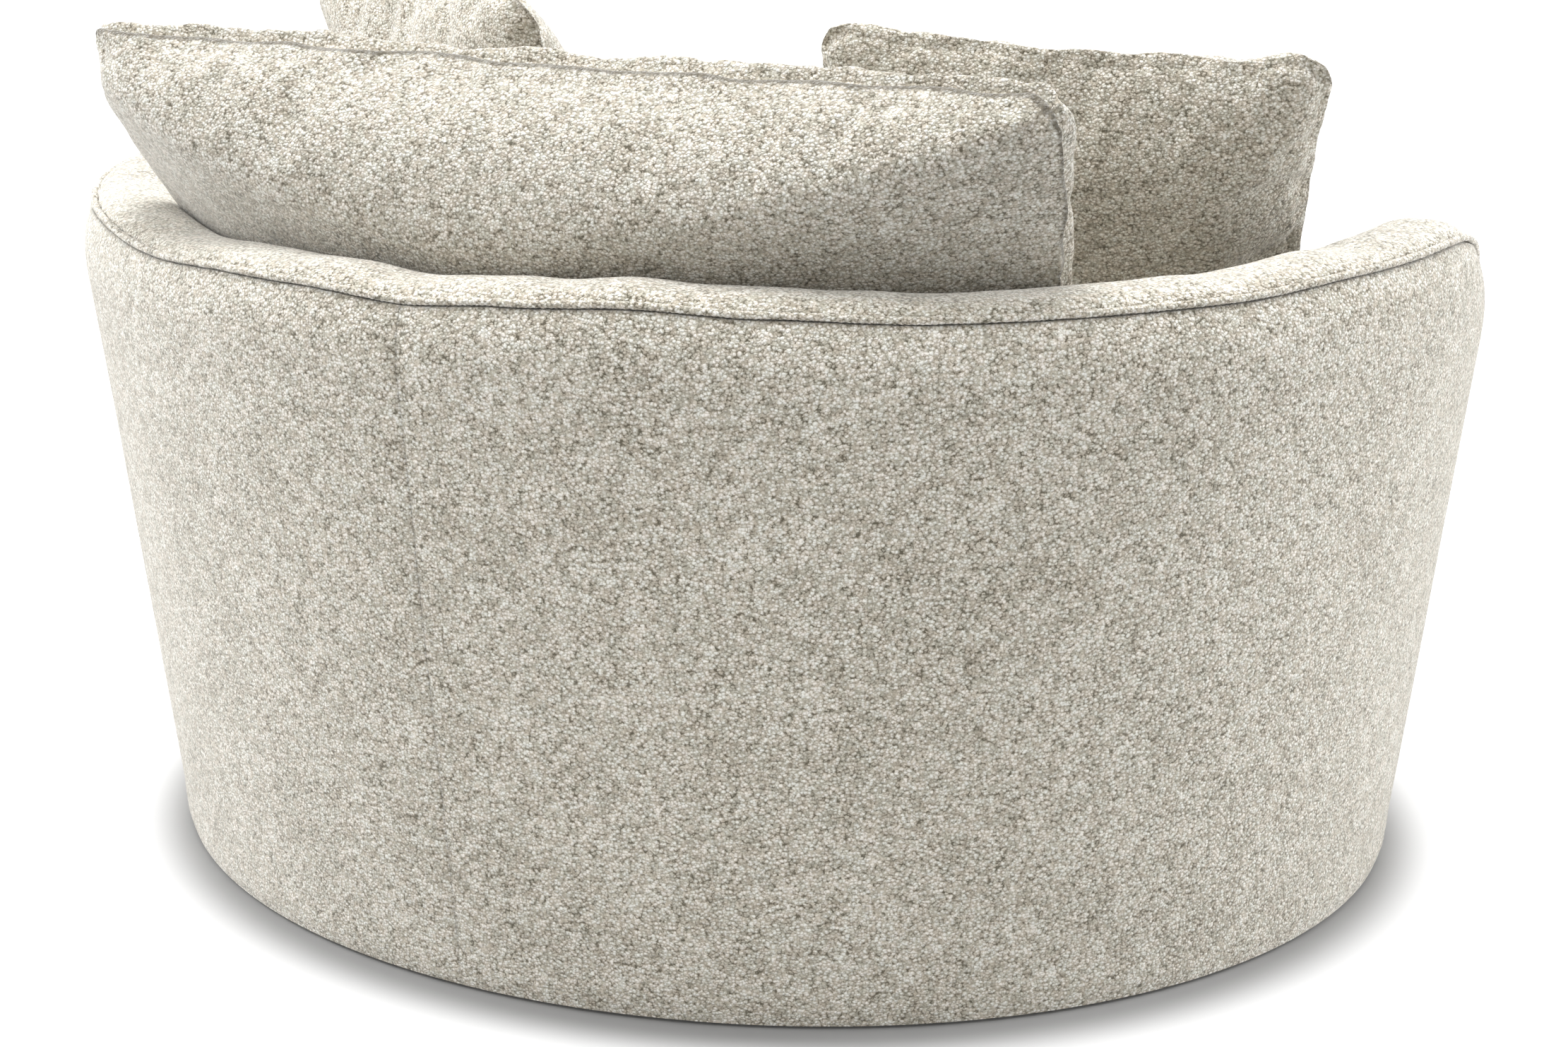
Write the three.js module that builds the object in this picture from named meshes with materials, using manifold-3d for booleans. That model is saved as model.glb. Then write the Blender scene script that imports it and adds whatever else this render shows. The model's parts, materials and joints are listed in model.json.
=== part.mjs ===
// Round swivel cuddle chair: an upholstered tub on a concealed ball-bearing base, with a loose seat
// cushion, a loose back cushion and two scatter cushions.
// Millimetres, +Z up, the floor at z = 0 under the swivel axis. The sitter faces -Y.
import * as THREE from 'three';
import Module from 'manifold-3d';
import { mergeVertices } from 'three/addons/utils/BufferGeometryUtils.js';

const wasm = await Module();
wasm.setup();

// Driving dimensions of the tub
const rimHalfWidth = 685;
const depthShare = 0.924;
const rimHeight = 615;
const baseHalfWidth = 612;
const skirtGap = 12;
const armEndAngle = 126;
const armFallStart = 85;
const armFall = 170;
const armFallPower = 1.4;
const facetAngle = 6;

// Upholstery thicknesses, measured inwards from the outer face of the tub
const coverThickness = 3;
const linerThickness = 2.5;
const frameDepth = 30;
const innerFoamThickness = 63;
const touchGap = 0.3;
const slopeGap = 0.9;
const cushionGap = 1.2;
const seamInset = 17.8;
const shoulderHeight = 60;
const crownHeight = 14;
const weltRadius = 3;
const frontRounding = 7;
const overrun = 5;

// Seat platform
const boardThickness = 18;
const bottomRingDepth = 39;
const frontHeight = 285;
const deckClothThickness = 1.2;
const deckPadThickness = 19.5;
const railHeight = 30;
const topRailHeight = 30;
const topRailSetback = 6.6;
const ledgeWidth = 24;
const seatBoxThickness = 20;
const seatBoxWidthShare = 0.63;
const seatBoxFrontShare = 0.645;
const seatBoxRearShare = 0.61;

// Swivel base
const glideHeight = 6;
const glideRadius = 17;
const glideCount = 4;
const ringRadius = 350;
const channelWidth = 28;
const channelHeight = 22;
const channelWall = 3;
const crossBarWidth = 40;
const crossBarThickness = 6;
const raceRadius = 130;
const raceOuterRadius = 165;
const plateThickness = 3;
const ballRadius = 6;
const ballCount = 14;
const cageWidth = 20;
const cageThickness = 2;
const pinRadius = 10;
const pinHeadRadius = 20;
const pinHeadHeight = 6;
const pinFootRadius = 16;
const pinFootHeight = 5;
const pinHoleRadius = 34;
const boltRadius = 4;
const boltHeadRadius = 8;
const boltHeadHeight = 5;
const boltCount = 4;
const boltCircleShare = 0.6;
const glideTaperShare = 0.9;

// Sinuous springs
const springWire = 3.8;
const springWidth = 52;
const springLoops = 13;
const springCount = 5;
const clipHeight = 5;
const clipWall = 1.5;

// Cushions
const seatCushionHeight = 138;
const seatCrown = 16;
const backCushionWidth = 888;
const backCushionHeight = 345;
const backCushionThickness = 190;
const backCushionEdge = 40;
const backCushionPress = 20;
const backCushionDrawnInShare = 0.02;
const scatterSize = 430;
const scatterThickness = 135;
const scatterEdge = 12;
const scatterDrawnInShare = 0.06;

const degrees = Math.PI / 180;

// Form of the tub: a straight-sided oval cone, cut into flat facets
function halfWidthAt(z) {
  const share = (z - skirtGap) / (rimHeight - skirtGap);
  return baseHalfWidth + (rimHalfWidth - baseHalfWidth) * share;
}

function onOval(angle, inset, z) {
  const halfWidth = halfWidthAt(z);
  const x = (halfWidth - inset) * Math.sin(angle * degrees);
  const y = (halfWidth * depthShare - inset) * Math.cos(angle * degrees);
  return new THREE.Vector3(x, y, z);
}

function wallPoint(angle, inset, z) {
  const step = Math.floor(angle / facetAngle) * facetAngle;
  const share = (angle - step) / facetAngle;
  return onOval(step, inset, z).lerp(onOval(step + facetAngle, inset, z), share);
}

// Height of the rim's seam: level round the back, then falling along each arm
function rimOnFacet(angle) {
  const beyond = Math.max(0, Math.abs(angle) - armFallStart) / (armEndAngle - armFallStart);
  const fallShare = ((1 - Math.cos(Math.PI * Math.min(1, beyond))) / 2) ** armFallPower;
  return rimHeight - armFall * fallShare;
}

function rimAt(angle) {
  const step = Math.floor(angle / facetAngle) * facetAngle;
  const share = (angle - step) / facetAngle;
  return rimOnFacet(step) * (1 - share) + rimOnFacet(step + facetAngle) * share;
}

// Insets of the layers, from the outer face inwards
const linerInset = coverThickness + touchGap;
const frameInset = linerInset + linerThickness + touchGap;
const foamInset = frameInset + frameDepth + touchGap;
const insideCoverInset = foamInset + innerFoamThickness + touchGap;
const insideFace = insideCoverInset + coverThickness;
const bandInset = seamInset + coverThickness;
const paddingMarginAngle = 1;
const paddingEndAngle = armEndAngle - paddingMarginAngle;
const angleAcross = (length) => length / baseHalfWidth / degrees;
const armPanelAngle = armEndAngle + angleAcross(coverThickness);

// Heights of the base, from the floor up
const ringBottom = glideHeight + touchGap;
const ringTop = ringBottom + channelHeight;
const crossBottom = ringTop + touchGap;
const crossTop = crossBottom + crossBarThickness;
const lowerPlateBottom = crossTop + touchGap;
const grooveRadius = ballRadius + touchGap;
const ballCentre = lowerPlateBottom + plateThickness + grooveRadius;
const upperPlateTop = ballCentre + grooveRadius + plateThickness;

// Heights of the seat platform, from the board up
const boardHeight = upperPlateTop + touchGap;
const boardTop = boardHeight + boardThickness;
const deckHeight = frontHeight - deckPadThickness - deckClothThickness - touchGap;
const paddingLow = deckHeight + deckClothThickness + touchGap;
const railTop = deckHeight - touchGap;
const railLow = deckHeight - railHeight;
const seatBottom = frontHeight + touchGap;
const seatTop = seatBottom + seatCushionHeight + seatCrown;

// Seat box, inside the tub at the board or at the ledge, whichever is narrower
const seatBoxRoom = Math.min(halfWidthAt(boardTop), halfWidthAt(railTop));
const seatBoxHalfWidth = seatBoxRoom * seatBoxWidthShare;
const seatBoxFront = -seatBoxRoom * depthShare * seatBoxFrontShare;
const seatBoxRear = seatBoxRoom * depthShare * seatBoxRearShare;

// Mesh helpers
const materials = {
  fabric: new THREE.MeshStandardMaterial({ color: 0xcfc8bb, roughness: 0.95, metalness: 0 }),
  foam: new THREE.MeshStandardMaterial({ color: 0xe8dfb8, roughness: 0.9, metalness: 0 }),
  plywood: new THREE.MeshStandardMaterial({ color: 0xc9a26b, roughness: 0.7, metalness: 0 }),
  liner: new THREE.MeshStandardMaterial({ color: 0x9b7a52, roughness: 0.9, metalness: 0 }),
  lining: new THREE.MeshStandardMaterial({ color: 0x1d1d1f, roughness: 0.95, metalness: 0 }),
  blackSteel: new THREE.MeshStandardMaterial({ color: 0x1b1c1e, roughness: 0.45, metalness: 0.4 }),
  zincSteel: new THREE.MeshStandardMaterial({ color: 0xa9adb0, roughness: 0.35, metalness: 0.9 }),
  springSteel: new THREE.MeshStandardMaterial({ color: 0x55585c, roughness: 0.4, metalness: 0.9 }),
  glidePlastic: new THREE.MeshStandardMaterial({ color: 0x2a2a2a, roughness: 0.6, metalness: 0 }),
};

const chair = new THREE.Group();

function addPiece(name, geometry, material, parent = chair) {
  const mesh = new THREE.Mesh(geometry, material.clone());
  mesh.name = name;
  parent.add(mesh);
  return mesh;
}

function closedGeometry(points, triangles) {
  const geometry = new THREE.BufferGeometry();
  const flat = points.flatMap((point) => [point.x, point.y, point.z]);
  geometry.setAttribute('position', new THREE.Float32BufferAttribute(flat, 3));
  geometry.setIndex(triangles.flat());
  return geometry;
}

// A band of the wall: its section, a loop of [inset, height] that runs up the outer face, is swept
// from one angle to another. A full turn closes on itself. Each facet is split along the diagonal that
// leads inwards, so that faces which lie on each other bend alike.
function sweepWall(startAngle, endAngle, section) {
  const angles = [startAngle];
  const firstFacet = Math.floor(startAngle / facetAngle) + 1;
  for (let facet = firstFacet; facet * facetAngle < endAngle; facet += 1) {
    angles.push(facet * facetAngle);
  }
  const fullTurn = endAngle - startAngle === 360;
  if (!fullTurn) angles.push(endAngle);
  const points = [];
  angles.forEach((angle) => {
    section(angle).forEach(([inset, z]) => points.push(wallPoint(angle, inset, z)));
  });
  const loop = section(startAngle).length;
  const triangles = [];
  const strips = fullTurn ? angles.length : angles.length - 1;
  for (let strip = 0; strip < strips; strip += 1) {
    const here = strip * loop;
    const there = ((strip + 1) % angles.length) * loop;
    const corners = section(angles[strip]);
    for (let corner = 0; corner < loop; corner += 1) {
      const next = (corner + 1) % loop;
      const inwards = corners[next][0] - corners[corner][0] || corners[next][1] - corners[corner][1];
      if (inwards > 0) {
        triangles.push([here + corner, here + next, there + next]);
        triangles.push([here + corner, there + next, there + corner]);
      } else {
        triangles.push([here + corner, here + next, there + corner]);
        triangles.push([here + next, there + next, there + corner]);
      }
    }
  }
  if (!fullTurn) {
    const outline = (angle) => section(angle).map(([inset, z]) => new THREE.Vector2(-inset, z));
    THREE.ShapeUtils.triangulateShape(outline(startAngle), []).forEach(([a, b, c]) => {
      triangles.push([a, c, b]);
    });
    const last = (angles.length - 1) * loop;
    THREE.ShapeUtils.triangulateShape(outline(endAngle), []).forEach(([a, b, c]) => {
      triangles.push([last + a, last + b, last + c]);
    });
  }
  return outwardFacing(closedGeometry(points, triangles));
}

function signedVolume(geometry) {
  const position = geometry.getAttribute('position');
  const index = geometry.getIndex();
  const [a, b, c] = [new THREE.Vector3(), new THREE.Vector3(), new THREE.Vector3()];
  let volume = 0;
  for (let corner = 0; corner < index.count; corner += 3) {
    a.fromBufferAttribute(position, index.getX(corner));
    b.fromBufferAttribute(position, index.getX(corner + 1));
    c.fromBufferAttribute(position, index.getX(corner + 2));
    volume += a.dot(b.cross(c)) / 6;
  }
  return volume;
}

function outwardFacing(geometry) {
  if (signedVolume(geometry) > 0) return geometry;
  const index = geometry.getIndex();
  for (let corner = 0; corner < index.count; corner += 3) {
    const second = index.getX(corner + 1);
    index.setX(corner + 1, index.getX(corner + 2));
    index.setX(corner + 2, second);
  }
  return geometry;
}

function rectangle(innerInset, outerInset, low, high) {
  return [[outerInset, low], [outerInset, high], [innerInset, high], [innerInset, low]];
}

// Booleans
function solidOf(geometry) {
  const bare = geometry.clone();
  bare.deleteAttribute('normal');
  bare.deleteAttribute('uv');
  const merged = mergeVertices(bare);
  return new wasm.Manifold(new wasm.Mesh({
    numProp: 3,
    vertProperties: merged.getAttribute('position').array,
    triVerts: new Uint32Array(merged.getIndex().array),
  }));
}

function geometryOf(solid) {
  const mesh = solid.getMesh();
  const geometry = new THREE.BufferGeometry();
  geometry.setAttribute('position', new THREE.BufferAttribute(mesh.vertProperties, 3));
  geometry.setIndex(new THREE.BufferAttribute(mesh.triVerts, 1));
  return geometry;
}

function cutFrom(geometry, tools) {
  return geometryOf(tools.reduce((solid, tool) => solid.subtract(solidOf(tool)), solidOf(geometry)));
}

function joined(geometries) {
  return geometryOf(geometries.slice(1).reduce((solid, piece) => solid.add(solidOf(piece)),
    solidOf(geometries[0])));
}

function uprightCylinder(radius, low, high, sides = 16, x = 0, y = 0) {
  const geometry = new THREE.CylinderGeometry(radius, radius, high - low, sides);
  geometry.rotateX(Math.PI / 2);
  geometry.translate(x, y, (low + high) / 2);
  return geometry;
}

function blockBetween(xLow, xHigh, yLow, yHigh, zLow, zHigh) {
  const geometry = new THREE.BoxGeometry(xHigh - xLow, yHigh - yLow, zHigh - zLow);
  geometry.translate((xLow + xHigh) / 2, (yLow + yHigh) / 2, (zLow + zHigh) / 2);
  return geometry;
}

function revolved(outline, segments) {
  const closed = [...outline, outline[0]];
  const geometry = new THREE.LatheGeometry(closed.map(([r, z]) => new THREE.Vector2(r, z)), segments);
  geometry.rotateX(Math.PI / 2);
  geometry.deleteAttribute('normal');
  geometry.deleteAttribute('uv');
  return outwardFacing(mergeVertices(geometry));
}

function aroundCircle(count, radius, startAngle = 0) {
  return Array.from({ length: count }, (_, index) => {
    const turn = startAngle * degrees + (index * 2 * Math.PI) / count;
    return { x: radius * Math.cos(turn), y: radius * Math.sin(turn) };
  });
}

// Swivel base: a rolled channel ring on glides, a cross, and a two-plate ball race. The facets of the
// groove are fine enough for the balls to roll past their edges.
const raceFacets = 4 * ballCount;
const boltCircle = raceRadius * boltCircleShare;
const boltStartAngle = 45;
const plateFlatOffset = ballRadius / 2;

function channelRing() {
  const outer = ringRadius + channelWidth / 2;
  const inner = ringRadius - channelWidth / 2;
  const web = outer - channelWall;
  return revolved([
    [inner, ringBottom], [outer, ringBottom], [outer, ringTop], [inner, ringTop],
    [inner, ringTop - channelWall], [web, ringTop - channelWall],
    [web, ringBottom + channelWall], [inner, ringBottom + channelWall],
  ], 36);
}

// Section of the groove, up to where it meets the flat of its plate
function grooveOutline(side) {
  const steps = 4;
  const mouth = Math.acos(plateFlatOffset / grooveRadius);
  return Array.from({ length: steps + 1 }, (_, index) => {
    const turn = -mouth + (2 * mouth * index) / steps;
    return [raceRadius + grooveRadius * Math.sin(turn), ballCentre - side * grooveRadius * Math.cos(turn)];
  });
}

function racePlate(side, flatFace, holes) {
  const near = ballCentre - side * plateFlatOffset;
  const outline = [
    [pinRadius + touchGap, flatFace], [raceOuterRadius, flatFace], [raceOuterRadius, near],
    ...grooveOutline(side).reverse(),
    [pinRadius + touchGap, near],
  ];
  return cutFrom(revolved(outline, raceFacets), holes);
}

function boltHoles(low, high) {
  return aroundCircle(boltCount, boltCircle, boltStartAngle).map(({ x, y }) => (
    uprightCylinder(boltRadius + touchGap, low - overrun, high + overrun, 10, x, y)));
}

function ballCage() {
  const [cageInner, cageOuter] = [raceRadius - cageWidth / 2, raceRadius + cageWidth / 2];
  const [cageLow, cageHigh] = [ballCentre - cageThickness / 2, ballCentre + cageThickness / 2];
  const cage = revolved([
    [cageInner, cageLow], [cageOuter, cageLow], [cageOuter, cageHigh], [cageInner, cageHigh],
  ], 2 * ballCount);
  const balls = aroundCircle(ballCount, raceRadius).map(({ x, y }) => {
    const ball = new THREE.SphereGeometry(ballRadius, 6, 5);
    ball.translate(x, y, ballCentre);
    return ball;
  });
  return joined([cage, ...balls]);
}

function buildBase() {
  addPiece('floor_ring', channelRing(), materials.blackSteel);
  aroundCircle(glideCount, ringRadius).forEach(({ x, y }, index) => {
    const glide = addPiece(`glide_${index + 1}`, new THREE.CylinderGeometry(
      glideRadius, glideRadius * glideTaperShare, glideHeight, 16), materials.glidePlastic);
    glide.rotation.x = Math.PI / 2;
    glide.position.set(x, y, glideHeight / 2);
  });
  const reach = ringRadius + channelWidth / 4;
  const half = crossBarWidth / 2;
  const cross = joined([
    blockBetween(-reach, reach, -half, half, crossBottom, crossTop),
    blockBetween(-half, half, -reach, reach, crossBottom, crossTop),
    uprightCylinder(raceRadius, crossBottom, crossTop, 32),
  ]);
  const pinHole = uprightCylinder(pinRadius + touchGap, crossBottom - overrun, crossTop + overrun);
  addPiece('base_cross', cutFrom(cross, [pinHole]), materials.blackSteel);
  addPiece('lower_race_plate', racePlate(1, lowerPlateBottom, []), materials.zincSteel);
  addPiece('ball_cage', ballCage(), materials.springSteel);
  addPiece('upper_race_plate', racePlate(-1, upperPlateTop,
    boltHoles(ballCentre, upperPlateTop)), materials.zincSteel);
  buildPin();
  buildBolts();
}

// The rivet that holds the two plates together has a head under the cross and one over the plate
function buildPin() {
  const headBottom = upperPlateTop + touchGap;
  const footTop = crossBottom - touchGap;
  const pin = joined([
    uprightCylinder(pinRadius, footTop - pinFootHeight / 2, headBottom + pinHeadHeight / 2),
    uprightCylinder(pinHeadRadius, headBottom, headBottom + pinHeadHeight, 24),
    uprightCylinder(pinFootRadius, footTop - pinFootHeight, footTop, 24),
  ]);
  addPiece('centre_pin', pin, materials.zincSteel);
}

function buildBolts() {
  aroundCircle(boltCount, boltCircle, boltStartAngle).forEach(({ x, y }, index) => {
    const headLow = boardTop + touchGap;
    const shankLow = ballCentre + plateFlatOffset;
    const bolt = joined([
      uprightCylinder(boltRadius, shankLow, headLow + boltHeadHeight / 2, 10, x, y),
      uprightCylinder(boltHeadRadius, headLow, headLow + boltHeadHeight, 6, x, y),
    ]);
    addPiece(`plate_bolt_${index + 1}`, bolt, materials.zincSteel);
  });
}

// Frame of the tub
const postTop = (angle) => rimAt(angle) - shoulderHeight - slopeGap;
const topRailLow = (angle) => rimAt(angle) - shoulderHeight;
const topRailTop = (angle) => topRailLow(angle) + topRailHeight;
const postHalfAngle = 2;
const backPostAngles = [-120, -80, -40, 0, 40, 80, 120];
const frontPostAngles = [150, 210];

function ovalDisc(inset, low, high, holes) {
  const shape = new THREE.Shape();
  for (let angle = 0; angle < 360; angle += facetAngle) {
    const { x, y } = onOval(-angle, inset, low);
    if (angle === 0) shape.moveTo(x, y);
    else shape.lineTo(x, y);
  }
  shape.closePath();
  holes.forEach(({ x, y, radius }) => {
    const hole = new THREE.Path();
    hole.absarc(x, y, radius, 0, 2 * Math.PI, true);
    shape.holes.push(hole);
  });
  const geometry = new THREE.ExtrudeGeometry(shape, {
    depth: high - low, bevelEnabled: false, curveSegments: 10,
  });
  geometry.translate(0, 0, low);
  return geometry;
}

function buildFrame() {
  const bottomRingLow = skirtGap + coverThickness;
  addPiece('bottom_ring', sweepWall(0, 360, () => rectangle(frameInset + bottomRingDepth, frameInset,
    bottomRingLow, boardHeight - touchGap)), materials.plywood);
  const boltHolesInBoard = aroundCircle(boltCount, boltCircle, boltStartAngle)
    .map(({ x, y }) => ({ x, y, radius: boltRadius + touchGap }));
  addPiece('bottom_board', ovalDisc(frameInset, boardHeight, boardTop,
    [{ x: 0, y: 0, radius: pinHoleRadius }, ...boltHolesInBoard]), materials.plywood);
  backPostAngles.forEach((middle, index) => {
    addPiece(`back_post_${index + 1}`, sweepWall(middle - postHalfAngle, middle + postHalfAngle,
      (angle) => rectangle(frameInset + frameDepth, frameInset, boardTop + touchGap, postTop(angle))),
      materials.plywood);
  });
  frontPostAngles.forEach((middle, index) => {
    addPiece(`front_post_${index + 1}`, sweepWall(middle - postHalfAngle, middle + postHalfAngle,
      () => rectangle(frameInset + frameDepth, frameInset, boardTop + touchGap,
        railLow - touchGap)), materials.plywood);
  });
  const railEnd = armEndAngle - postHalfAngle;
  const topRail = (angle) => rectangle(frameInset + frameDepth, frameInset + topRailSetback,
    topRailLow(angle), topRailTop(angle));
  addPiece('top_rail', sweepWall(-railEnd, railEnd, topRail), materials.plywood);
  addPiece('front_rail', sweepWall(armEndAngle + postHalfAngle, 360 - armEndAngle - postHalfAngle,
    () => rectangle(frameInset + frameDepth, frameInset, railLow, railTop)), materials.plywood);
  addPiece('seat_ledge', sweepWall(0, 360, () => rectangle(foamInset + ledgeWidth, foamInset,
    railLow, railTop)), materials.plywood);
  buildSeatBox();
}

// Seat box and its sinuous springs, whose crown carries the deck cloth
const wireHeight = railLow + clipHeight + touchGap;
const springRise = railTop - springWire / 2 - wireHeight;
const squarenessShare = 0.5;

function buildSeatBox() {
  const low = boardTop + touchGap;
  const inFront = seatBoxFront + seatBoxThickness;
  const inRear = seatBoxRear - seatBoxThickness;
  addPiece('seat_box_front', blockBetween(-seatBoxHalfWidth, seatBoxHalfWidth, seatBoxFront, inFront,
    low, railLow), materials.plywood);
  addPiece('seat_box_rear', blockBetween(-seatBoxHalfWidth, seatBoxHalfWidth, inRear, seatBoxRear,
    low, railLow), materials.plywood);
  const inner = seatBoxHalfWidth - seatBoxThickness;
  addPiece('seat_box_left', blockBetween(inner, seatBoxHalfWidth, inFront + touchGap,
    inRear - touchGap, low, railLow), materials.plywood);
  addPiece('seat_box_right', blockBetween(-seatBoxHalfWidth, -inner, inFront + touchGap,
    inRear - touchGap, low, railLow), materials.plywood);
  addPiece('front_spring_clip', springClip(seatBoxFront + touchGap, inFront), materials.zincSteel);
  addPiece('rear_spring_clip', springClip(seatBoxRear - touchGap, inRear), materials.zincSteel);
  buildSprings();
}

// A folded strip that hooks over the spring ends and is open towards the middle of the seat
function springClip(outerY, innerY) {
  const inwards = Math.sign(innerY - outerY);
  const half = springWire / 2 + touchGap;
  const strip = blockBetween(-seatBoxHalfWidth, seatBoxHalfWidth, Math.min(outerY, innerY),
    Math.max(outerY, innerY), railLow + touchGap, wireHeight + half + clipWall);
  const mouth = [outerY + inwards * clipWall, innerY + inwards * overrun];
  return cutFrom(strip, [blockBetween(-seatBoxHalfWidth - overrun, seatBoxHalfWidth + overrun,
    Math.min(...mouth), Math.max(...mouth), wireHeight - half, wireHeight + half)]);
}

// A sinuous spring is a wire bent to and fro in one plane, bowed upwards between its clips
function sinuousPath(x) {
  const start = seatBoxFront + clipWall + springWire;
  const end = seatBoxRear - clipWall - springWire;
  const stepsPerLoop = 4;
  const count = springLoops * stepsPerLoop;
  const points = [];
  for (let step = 0; step <= count; step += 1) {
    const share = step / count;
    const swing = Math.sin(share * springLoops * Math.PI + Math.PI / 2);
    const square = Math.sign(swing) * Math.abs(swing) ** squarenessShare;
    const bow = (springRise * (1 - Math.cos(share * 2 * Math.PI))) / 2;
    const y = start + (end - start) * share;
    points.push(new THREE.Vector3(x + (springWidth / 2) * square, y, wireHeight + bow));
  }
  return new THREE.CatmullRomCurve3(points);
}

function wireAlong(path, diameter, steps, sides) {
  const ring = new THREE.Shape();
  for (let side = 0; side < sides; side += 1) {
    const turn = (side * 2 * Math.PI) / sides;
    const [x, y] = [(diameter / 2) * Math.cos(turn), (diameter / 2) * Math.sin(turn)];
    if (side === 0) ring.moveTo(x, y);
    else ring.lineTo(x, y);
  }
  ring.closePath();
  return new THREE.ExtrudeGeometry(ring, { steps, extrudePath: path, bevelEnabled: false });
}

function buildSprings() {
  const spacing = (2 * (seatBoxHalfWidth - seatBoxThickness)) / springCount;
  for (let index = 0; index < springCount; index += 1) {
    const x = (index - (springCount - 1) / 2) * spacing;
    addPiece(`sinuous_spring_${index + 1}`, wireAlong(sinuousPath(x), springWire, springLoops * 4, 4),
      materials.springSteel);
  }
}

// Padding and covers of the tub
const rimPadLow = (angle) => topRailTop(angle) + slopeGap;

// Outer line of the padded rim, from the seam over the crown to the inside face
const rimCrownShares = [[0, 0.25], [0.16, 0.78], [0.46, 1], [0.76, 0.72], [0.95, -0.15], [1, -1.4]];

function rimCrown(angle, drop) {
  const width = insideFace - bandInset;
  return rimCrownShares.map(([across, up]) => {
    const inset = bandInset + width * across;
    const lean = Math.max(0, across * 2 - 1);
    return [inset - drop * lean, rimAt(angle) + crownHeight * up - drop * (1 - lean)];
  });
}

// Rounding of the outer cover below the seam, as shares of the seam's inset and the shoulder's height
const shoulderShares = [[0, 1], [0.14, 0.62], [0.46, 0.28], [1, 0]];

function outerCoverSection(angle) {
  const rim = rimAt(angle);
  const shoulder = shoulderShares.map(([inwards, down]) => (
    [seamInset * inwards, rim - shoulderHeight * down]));
  const underside = [...shoulder].reverse().map(([inset, z]) => [inset + coverThickness, z]);
  return [[0, skirtGap], ...shoulder, ...underside, [coverThickness, skirtGap]];
}

function rimBandSection(angle) {
  const outside = rimCrown(angle, 0);
  const inside = rimCrown(angle, coverThickness);
  return [...outside, ...inside.reverse()];
}

function rimPadSection(angle) {
  const top = rimCrown(angle, coverThickness + touchGap);
  const low = rimPadLow(angle);
  return [[bandInset + touchGap, low], ...top, [foamInset + innerFoamThickness, low]];
}

function weltSection(angle) {
  const sides = 6;
  const middle = [bandInset - weltRadius - touchGap, rimAt(angle) + weltRadius + touchGap];
  return Array.from({ length: sides }, (_, index) => {
    const turn = (index * 2 * Math.PI) / sides;
    return [middle[0] - weltRadius * Math.cos(turn), middle[1] + weltRadius * Math.sin(turn)];
  });
}

function buildTubPadding() {
  const halfJoint = angleAcross(touchGap);
  const liner = (angle) => rectangle(linerInset + linerThickness, linerInset, skirtGap + coverThickness,
    rimAt(angle) - shoulderHeight - touchGap);
  addPiece('outer_liner_left', sweepWall(halfJoint, paddingEndAngle, liner), materials.liner);
  addPiece('outer_liner_right', sweepWall(-paddingEndAngle, -halfJoint, liner), materials.liner);
  addPiece('back_foam', sweepWall(-paddingEndAngle, paddingEndAngle, (angle) => rectangle(
    foamInset + innerFoamThickness, foamInset, paddingLow, rimPadLow(angle) - slopeGap)), materials.foam);
  addPiece('rim_pad', sweepWall(-paddingEndAngle, paddingEndAngle, rimPadSection), materials.foam);
  addPiece('outer_cover_left', sweepWall(halfJoint, armEndAngle, outerCoverSection), materials.fabric);
  addPiece('outer_cover_right', sweepWall(-armEndAngle, -halfJoint, outerCoverSection),
    materials.fabric);
  addPiece('rim_band', sweepWall(-armEndAngle, armEndAngle, rimBandSection), materials.fabric);
  addPiece('rim_welt', sweepWall(-armEndAngle, armEndAngle, weltSection), materials.fabric);
  addPiece('inside_cover', sweepWall(-armEndAngle, armEndAngle, (angle) => rectangle(insideFace,
    insideCoverInset, paddingLow, rimCrown(angle, 0).at(-1)[1] - touchGap)), materials.fabric);
  buildArmPanels();
  buildFront();
}

// The end of each arm is closed by a panel cut to the outline of the wall
function buildArmPanels() {
  const outline = (angle) => {
    const limited = Math.min(armEndAngle, Math.abs(angle > 180 ? angle - 360 : angle));
    return [[0, skirtGap], ...outerCoverSection(limited).slice(1, 1 + shoulderShares.length),
      ...rimCrown(limited, 0), [insideFace, frontHeight + touchGap],
      [frameInset, frontHeight + touchGap], [frameInset, skirtGap]];
  };
  const gap = angleAcross(touchGap);
  const start = armEndAngle + gap;
  addPiece('arm_panel_left', sweepWall(start, armPanelAngle + gap, outline), materials.fabric);
  addPiece('arm_panel_right', sweepWall(-armPanelAngle - gap, -start, outline), materials.fabric);
}

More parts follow.
